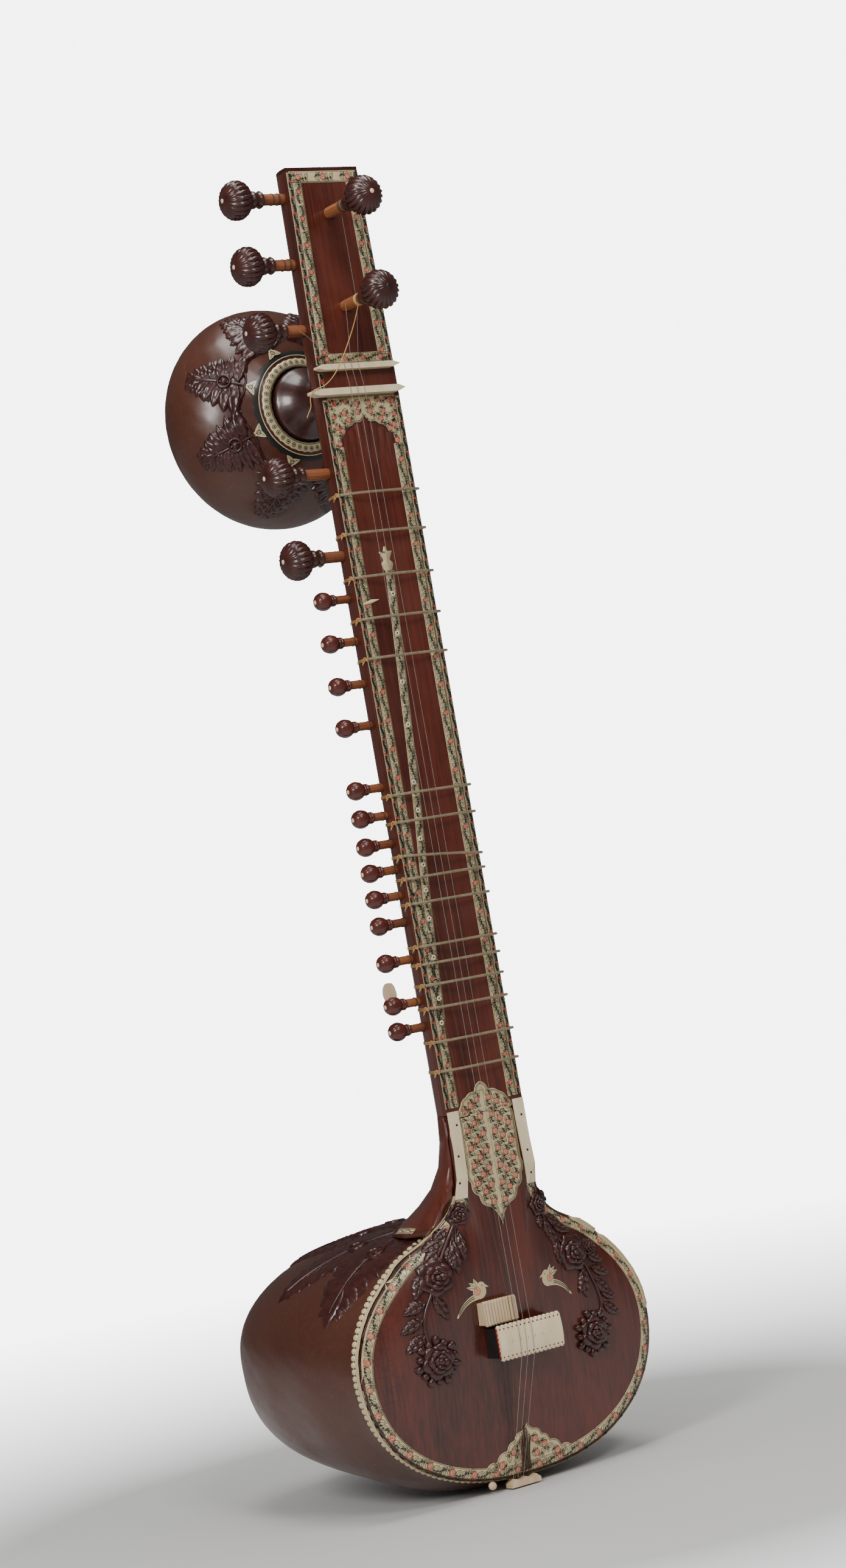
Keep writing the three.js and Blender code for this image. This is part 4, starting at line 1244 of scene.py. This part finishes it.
def turned(rings, lobes=0, depth=0.0, first_lobed=0.0, last_lobed=0.0, sides=None, twist=0.0):
    """Points and faces of a turned shape: [(radius, distance)], with lobes cut between two distances."""
    sides = sides or (lobes * 8 if lobes else 20)
    points, faces = [], []
    for radius, far in rings:
        share = (far - first_lobed) / max(last_lobed - first_lobed, 1e-6)
        lobed = lobes and 0 < share < 1
        cut = depth * math.sin(math.pi * share) ** 0.45 if lobed else 0.0
        for i in range(sides):
            t = i / sides * math.tau
            lobe = abs(math.sin(lobes * (t + twist * share) / 2)) ** 0.6 if lobes else 1.0
            r = radius * (1 - cut * (1 - lobe))
            points.append((r * math.cos(t), r * math.sin(t), far))
    for k in range(len(rings) - 1):
        for i in range(sides):
            j = (i + 1) % sides
            faces.append([k * sides + i, k * sides + j, (k + 1) * sides + j, (k + 1) * sides + i])
    points += [(0.0, 0.0, rings[0][1]), (0.0, 0.0, rings[-1][1] + 0.2)]
    last = (len(rings) - 1) * sides
    for i in range(sides):
        j = (i + 1) % sides
        faces.append([len(points) - 2, j, i])
        faces.append([len(points) - 1, last + i, last + j])
    return points, faces


def ring_coil(radius, thick, first, turns):
    """Thread wound side by side on a shaft."""
    rings = [(radius - 0.1, first - thick)]
    for k in range(turns):
        middle = first + k * thick * 2
        rings += [(radius, middle - thick), (radius + thick * 0.8, middle - thick * 0.5),
                  (radius + thick, middle),
                  (radius + thick * 0.8, middle + thick * 0.5)]
    rings.append((radius - 0.1, first + (turns * 2 - 1) * thick))
    return turned(rings, sides=16)


def pointing(points, start, direction):
    """Points of a turned shape set on an axis."""
    start = Vector(start)
    along = Vector(direction)
    side = Vector((0.0, 0.0, 1.0))
    third = along.cross(side)
    return [tuple(start + side * a + third * b + along * far) for a, b, far in points]


def peg(node, start, direction, head, shaft, lobes, depth, finish, shaft_finish, tip, windings, tip_finish):
    """A peg in its pieces: fluted head, paler shaft, a tip let into the end, and thread on the shaft."""
    lobed = (head[-12][1] - 0.5, head[-1][1] + 0.8)
    points, faces = turned(head, lobes, depth, *lobed, twist=0.5)
    body = piece(node + "_head", pointing(points, start, direction), faces, finish, node, 60)
    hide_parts(node)
    points, faces = turned(shaft, sides=24)
    piece(node + "_shaft", pointing(points, start, direction), faces, shaft_finish, node, 40)
    end = head[-1][1]
    cap = [(tip, end - 1.6), (tip, end + 0.1), (tip * 0.8, end + 0.4), (tip * 0.4, end + 0.55)]
    points, faces = turned(cap, sides=14)
    piece(node + "_tip", pointing(points, start, direction), faces, tip_finish, node)
    for k, (first, turns, thread) in enumerate(windings):
        points, faces = ring_coil(shaft[-1][0] + 0.05, 0.38, first, turns)
        piece(f"{node}_winding_{k + 1}", pointing(points, start, direction), faces, thread, node)


def all_pegs():
    main_depth = (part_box("peg_side_1")[0].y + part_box("peg_side_1")[1].y) / 2 / MM - FACE
    for k in range(5):
        node = f"peg_side_{k + 1}"
        low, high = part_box(node)
        z = (low.z + high.z) / 2 / MM
        outer = -low.x / MM
        wall = outer - 64.6
        inner = high.x / MM
        shaft = [(4.5, -inner - wall + 0.2), (5.5, -6.0), (5.6, 21.0)]
        wound = [(2.0, 3, DARK_THREAD), (9.0, 2, DARK_THREAD)] if k < 2 else []
        peg(node, (-wall, main_depth, z), (-1, 0, 0), MAIN_HEAD, shaft, 20, 0.2, PEG_HEAD, SHAFT, 2.3,
            wound, BONE)
    for k in range(2):
        node = f"peg_front_{k + 1}"
        low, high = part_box(node)
        z = (low.z + high.z) / 2 / MM
        head = [(r, d + 14) for r, d in MAIN_HEAD]
        shaft = [(4.5, -(high.y / MM - FACE) + 0.2), (5.5, -6.0), (5.6, 35.0)]
        peg(node, (0, 0, z), (0, -1, 0), head, shaft, 20, 0.22, PEG_HEAD, FRONT_SHAFT, 2.3,
            [(24.0, 5, THREAD if k else DARK_THREAD), (30.0, 3, DARK_THREAD)], EBONY if k else BONE)
    for k in range(13):
        node = f"peg_tarab_{k + 1}"
        low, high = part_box(node)
        z, depth = (low.z + high.z) / 2 / MM, (low.y + high.y) / 2 / MM - FACE
        wall = -low.x / MM - 38.6
        shaft = [(3.4, -25.8), (4.1, -6.0), (4.2, 15.6)]
        peg(node, (-wall, depth, z), (-1, 0, 0), SMALL_HEAD_RINGS, shaft, 10, 0.07, SMALL_HEAD, SHAFT, 2.1,
            [(1.6 + k % 3, 1 + k % 2, DARK_THREAD)], BONE)


# ---------- threads, wires and small fittings ----------
def tube(line, radius, sides=6):
    """Points and faces of a thin round tube through places."""
    points, faces = [], []
    for i, place in enumerate(line):
        before, after = Vector(line[max(i - 1, 0)]), Vector(line[min(i + 1, len(line) - 1)])
        along = (after - before).normalized()
        side = along.cross(Vector((0.31, 0.22, 0.93))).normalized()
        third = along.cross(side)
        for k in range(sides):
            t = k / sides * math.tau
            sideways = Vector(place) + side * (radius * math.cos(t))
            points.append(tuple(sideways + third * (radius * math.sin(t))))
    for i in range(len(line) - 1):
        for k in range(sides):
            j = (k + 1) % sides
            faces.append([i * sides + k, i * sides + j, (i + 1) * sides + j, (i + 1) * sides + k])
    faces.append(list(range(sides))[::-1])
    faces.append([(len(line) - 1) * sides + k for k in range(sides)])
    return points, faces


def fret_ties():
    """Tan thread that holds each fret: loops round the back of the neck and a knot at the left edge."""
    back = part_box("neck_trough")[1].y / MM - FACE
    for k in range(16):
        node = f"fret_{k + 1}"
        low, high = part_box(node)
        random.seed(k)
        points, faces = [], []
        at_left = (low.z + high.z) / 2 / MM
        if high.z - low.z > 0.004:
            at_left = high.z / MM - 1.4
        for offset in (-0.9, 0.1, 1.1):
            loop = []
            for i in range(25):
                t = math.pi * (1 - i / 24)
                loop.append((NECK_HALF * 1.012 * math.cos(t), 5.4 + (back - 4.6) * math.sin(t),
                             at_left + offset))
            corner = [(NECK_HALF + 0.9, 0.4), (NECK_HALF + 0.4, -1.15), (NECK_HALF - 1.6, -1.25)]
            loop = [(-x, depth, at_left + offset) for x, depth in corner[::-1]] + loop
            loop += [(x, depth, at_left + offset) for x, depth in corner]
            gather(points, faces, *tube(loop, 0.34))
        for n in range(3):
            knot = []
            for i in range(14):
                t = i / 13 * math.tau
                wobble = random.uniform(-0.4, 0.4)
                knot.append((-NECK_HALF - 1.2 + 1.6 * math.cos(t), 1.6 + 2.4 * math.sin(t) + wobble,
                             at_left - 1.4 + n * 1.3 + 0.8 * math.sin(2 * t)))
            gather(points, faces, *tube(knot, 0.42))
        for lean in (-1, 1):
            reach = random.uniform(4.0, 8.0)
            tail = curve_through([(-NECK_HALF - 1.5, 1.5, at_left),
                                  (-NECK_HALF - 3.5, 0.0, at_left - 2.0 * lean),
                                  (-NECK_HALF - 3.0 - reach * 0.4, 1.0, at_left - reach * 0.8)], 1.5)
            gather(points, faces, *tube(tail, 0.32))
        piece(node + "_tie", points, faces, THREAD, node)


def small_fittings(front):
    """Eyelets along the slanted strip with dark discs in their holes as painted shade, the lozenge mark and
    the rivets of the guard strips.
    """
    eyelets, hole_shade = Patch(), Patch()
    for x, z in EYELETS:
        eyelets.add(ring_patch(0.9, 2.6, 16), (x, z), lift=0.3)
        # a dark disc under each eyelet: painted shade inside its hole
        hole_shade.add(disc(1.0, 10), (x, z), lift=0.1)
    lozenge = between([(-39, 849.5), (-29, 853.5), (-19, 853.0)],
                      [(-39, 849.0), (-29, 849.5), (-19, 852.6)], 2, 8)
    eyelets.add(turned_over(lozenge), lift=0.4)
    # one more dark disc of painted shade, for one more hole
    hole_shade.add(disc(1.6, 10), (-39, 571), lift=0.6)
    lay("eyelets", eyelets, front, BONE, 0.55)
    # the painted shade of the holes, in ebony
    lay("eyelet_holes", hole_shade, front, EBONY, 0.6)
    rivets = Patch()
    for x, z in ((-36, 350), (-40, 321), (-43, 296), (39, 347), (39, 313), (40, 291)):
        rivets.add(disc(1.2, 10, rise=0.4, rings=2), (x, z), lift=0.05)
    strips = Skin(frame["nodes"]["guard_strip_left"], frame["nodes"]["guard_strip_right"])
    lay("guard_rivets", rivets, strips, EBONY, 0.05)


def bridge_trim():
    """Scalloped long edges, a red stained end and grooves on the main bridge; grooves on the small one."""
    low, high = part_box("main_bridge_table")
    left, right = low.x / MM, high.x / MM
    foot, head = low.z / MM, high.z / MM
    top = low.y / MM - FACE
    points, faces = [], []
    count = 15
    for edge, way in ((foot, -1), (head, 1)):
        for k in range(count):
            x = left + (right - left) * (k + 0.5) / count
            shape = [((right - left) / count * 0.46, 0.0), ((right - left) / count * 0.46, 4.2)]
            ring, sides = turned(shape, sides=12)
            places = [(x + a, top + 1.9 + far * 0.62, edge - way * 0.3 + b) for a, b, far in ring]
            gather(points, faces, places, sides)
    piece("main_bridge_scallops", points, faces, BONE, "frame")
    points, faces = [], []
    for k in range(7):
        z = foot + (head - foot) * (k + 0.5) / 7
        ring, sides = turned([(2.0, 0.0), (2.0, 0.7)], sides=10)
        places = [(left - 0.5 + far, top + 3.6 + a * 0.8, z + b) for a, b, far in ring]
        gather(points, faces, places, sides)
    piece("main_bridge_red_end", points, faces, RED_DYE, "frame")
    face = Skin(frame["nodes"]["main_bridge_table"], frame["nodes"]["small_bridge"])
    grooves = Patch()
    for share in (-0.62, -0.35, -0.12, 0.1, 0.34, 0.6):
        x = (left + right) / 2 + share * (right - left) / 2
        grooves.add(ribbon([(x, foot + 1.5), (x + 0.4, (foot + head) / 2), (x, head - 1.5)], 0.35),
                    lift=0.0)
    low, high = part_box("small_bridge")
    for k in range(11):
        x = low.x / MM + (high.x - low.x) / MM * (k + 0.5) / 11
        grooves.add(ribbon([(x, low.z / MM + 0.8), (x, high.z / MM - 0.8)], 0.5))
    bridge_dots(face)
    lay("bridge_grooves", grooves, face, stain("bridge grooves", tint(150, 116, 84), tint(96, 66, 44), 0.6),
        0.08)
    points, faces = [], []
    top = low.y / MM - FACE
    for edge, way in ((low.z / MM, -1), (high.z / MM, 1)):
        for k in range(11):
            x = low.x / MM + (high.x - low.x) / MM * (k + 0.5) / 11
            ring, sides = turned([(1.65, 0.0), (1.65, 2.6)], sides=10)
            places = [(x + a, top + 0.6 + far, edge - way * 0.1 + b) for a, b, far in ring]
            gather(points, faces, places, sides)
    piece("small_bridge_scallops", points, faces, OLD_BONE, "frame")


def bridge_dots(face):
    """Red stained notches along both long edges of the main bridge."""
    low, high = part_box("main_bridge_table")
    dots = Patch()
    for k in range(15):
        x = (low.x + (high.x - low.x) * (k + 0.5) / 15) / MM
        for z in (low.z / MM + 1.9, high.z / MM - 1.9):
            dots.add(disc(0.85, 8), (x, z))
    lay("main_bridge_dots", dots, face, RED_DYE, 0.1)


def tail_bundle(front):
    """Worn thread and wire ends gathered over the foot of the soundboard and down to the tailpiece."""
    points, faces = [], []
    for k in range(9):
        spread = (k - 4) * 1.15
        route = [(spread * 1.5 - 4.0, 57.0 - abs(k - 4) * 3.0), (spread * 1.1 - 4.5, 38.0),
                 (spread - 5.0, 24.0),
                 (spread * 1.3 - 5.0, 15.0)]
        line = [(x, front.depth(x, z) - 0.9 - 0.5 * (k % 2), z) for x, z in curve_through(route, 3.0)]
        gather(points, faces, *tube(line, 0.45))
    piece("tail_bundle", points, faces, DARK_THREAD, "frame")


def edge_strip(outline, front):
    """The cream strip on the soundboard's side, between the inlaid band and the beads."""
    inside = shifted(outline, 1.6)
    points, faces = [], []
    for (x, z), (inner_x, inner_z) in zip(outline, inside):
        depth = front.depth(inner_x, inner_z)
        out = Vector((x - inner_x, 0.0, z - inner_z)).normalized() * 0.25
        points += [(x + out.x, depth + 0.4, z + out.z), (x + out.x, depth + 3.4, z + out.z),
                   (x + out.x, depth + 6.2, z + out.z)]
    for i in range(len(outline) - 1):
        for k in range(2):
            faces.append([i * 3 + k, i * 3 + k + 1, i * 3 + k + 4, i * 3 + k + 3])
    piece("soundboard_edge_strip", points, faces, CREAM, "frame")


def arch_flutes(front):
    """Glossy flutes that run down into the channel from the arch."""
    patch = Patch()
    for k in range(7):
        x = (k - 3) * 8.6
        top = 1027.0 - abs(k - 3) * 5.0
        end = 972.0 + abs(k - 3) * 5.0
        line = [(x, top), (x * 0.98, (top + end) / 2), (x * 0.9, end)]
        fine = curve_through(line, 3.0)
        for i, (a, b) in enumerate(fine):
            t = i / (len(fine) - 1)
            for v in (-1.0, -0.7, -0.3, 0.0, 0.3, 0.7, 1.0):
                height = (1.5 * (1 - t) ** 1.2) * (1 - v * v) - (0.3 if abs(v) > 0.99 else 0.0) - 0.25 * t
                patch.points.append((a + v * 4.3 * (1 - 0.5 * t), b, height))
        patch.faces += between_rows(len(fine), 7, len(patch.points) - len(fine) * 7)
    lay("arch_flutes", turned_over(patch), front, RED_WOOD, 0.05)


def gut_string():
    """A slack gut string from the lower front peg to the nut's left end, with a curled tail."""
    route = [(-3.0, -27.0, 1131.5), (-8.0, -24.0, 1117.0), (-16.0, -21.0, 1100.0), (-26.0, -18.0, 1082.0),
             (-36.0, -15.5, 1068.0), (-46.0, -13.2, 1059.5), (-55.0, -12.9, 1056.5), (-60.5, -12.0, 1054.0),
             (-63.0, -9.0, 1048.0), (-62.0, -6.0, 1041.0), (-64.5, -4.0, 1035.0), (-66.0, -2.0, 1031.0)]
    line = curve_through(route, 1.5)
    points, faces = tube(line, 0.5, 8)
    string = piece("gut_string", points, faces, THREAD, "frame")


def carried_chip():
    """A fan shaped chip of bone glued to one of the small pegs."""
    low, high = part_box("peg_tarab_12")
    x, z = low.x / MM + 10.0, high.z / MM - 1.6
    depth = (low.y + high.y) / 2 / MM - FACE
    outline = scallops([(-6.5, 0.0), (-8.0, 9.0), (-4.0, 15.5), (2.0, 15.0), (5.0, 8.0), (4.5, 0.0),
                        (-6.5, 0.0)], -0.1, 5)
    count = len(outline) - 1
    points = [(x + a, depth - 1.6, z + b - 1.0) for a, b in outline[:-1]]
    points += [(x + a, depth + 1.6, z + b - 1.0) for a, b in outline[:-1]]
    faces = [[i, (i + 1) % count, count + (i + 1) % count, count + i] for i in range(count)]
    faces += [list(range(count))[::-1], [count + i for i in range(count)]]
    chip = piece("peg_tarab_12_chip", points, faces, OLD_BONE, "peg_tarab_12", 40)
    shape = bmesh.new()
    shape.from_mesh(chip.data)
    bmesh.ops.recalc_face_normals(shape, faces=shape.faces)
    shape.to_mesh(chip.data)
    shape.free()


def heel_bands(heel, bowl):
    """A cream strap where the heel meets the gourd, with its two lines and its vine."""
    skin = Skin(heel, bowl)
    joint = curve_through([(-79, 42, 262), (-73, 60, 259), (-64, 84, 255), (-50, 112, 252), (-28, 136, 251),
                           (0, 147, 250), (28, 136, 251), (50, 112, 252), (64, 84, 255), (73, 60, 259),
                           (79, 42, 262)], 4.0)
    for name, finish, half, lift, shift, sway in (
        ("joint_band", CREAM, 3.6, 0.5, 0.0, 0.0),
        ("joint_band_upper_line", LINE_INK, 0.3, 0.7, 2.6, 0.0),
        ("joint_band_lower_line", LINE_INK, 0.3, 0.7, -2.6, 0.0),
        ("joint_band_vine", INK, 0.4, 0.7, 0.0, 1.5),
    ):
        points = []
        for i, place in enumerate(joint):
            base, outward = skin.nearest(place)
            before, after = Vector(joint[max(i - 1, 0)]), Vector(joint[min(i + 1, len(joint) - 1)])
            across = outward.cross((after - before).normalized())
            wave = sway * math.sin(i * 1.3)
            for v in (-1.0, 0.0, 1.0):
                near, out = skin.nearest(base + across * (shift + wave + v * half))
                points.append(tuple(near + out * lift))
        piece(name, points, between_rows(len(joint), 3), finish, "frame")


def tail_knob():
    """The round bone knob beside the tailpiece."""
    rings = [(0.6, 0.0), (2.6, 0.8), (3.8, 2.6), (4.0, 4.4), (3.4, 6.2), (1.8, 7.4)]
    points, faces = turned(rings, sides=18)
    piece("tail_knob", pointing(points, (-45, 34, 8.5), (0, -1, 0)), faces, OLD_BONE, "frame")


def dress_nodes():
    """Better finishes on the nodes whose shape stays."""
    looks = {
        "neck_trough": RED_WOOD, "neck_faceplate": RED_WOOD, "pegbox_panel": RED_WOOD,
        "heel_block": RED_WOOD,
        "neck_end_cap": CARVING, "neck_tenon": PALE_WOOD, "upper_gourd_stud": PALE_WOOD, "nut": BONE,
        "string_guide": BONE, "main_bridge_foot": EBONY, "main_bridge_table": BONE,
        "small_bridge": OLD_BONE,
        "guard_strip_left": BONE, "guard_strip_right": BONE, "tailpiece": OLD_BONE,
        "string_1": STEEL, "string_2": STEEL, "string_3": STEEL, "string_4": OLD_WIRE, "string_5": OLD_WIRE,
    }
    for k in range(16):
        looks[f"fret_{k + 1}"] = BRASS
    for node, finish in looks.items():
        for place in frame["nodes"][node].material_slots:
            place.material = finish


# ---------- the whole ----------
set_camera()
set_light()
set_floor()
dress_nodes()
board = smoothed("soundboard", 1, BOARD_WOOD)
bowl = smoothed("gourd_bowl", 2, GOURD)
shell = smoothed("upper_gourd", 2, GOURD)
collar = smoothed("upper_gourd_collar", 2, CARVING)
heel = smoothed("heel_block", 0, RED_WOOD)
nodes = frame["nodes"]
front_skin = Skin(board, nodes["neck_faceplate"], nodes["pegbox_panel"])
bowl_skin = Skin(bowl)
shell_skin = Skin(shell)
dish_skin = Skin(collar, shell)
inlay = Inlay()
neck_inlay(inlay)
arch_plate(inlay)
cartouche(inlay)
outline = board_inlay(inlay)
bird(inlay, (-38, 192), -1)
bird(inlay, (44, 188), 1)
inlay.lay(front_skin, 0.25)
lay("left_spray", left_spray(), front_skin, CARVING)
lay("right_spray", right_spray(), front_skin, CARVING)
upper_gourd_carving(shell_skin)
upper_gourd_inlay(shell_skin, dish_skin)
gourd_carving(bowl_skin)
rim_beads(outline, bowl_skin)
arch_flutes(front_skin)
all_pegs()
fret_ties()
small_fittings(front_skin)
bridge_trim()
tail_bundle(front_skin)
edge_strip(outline, front_skin)
gut_string()
carried_chip()
heel_bands(heel, bowl)
tail_knob()
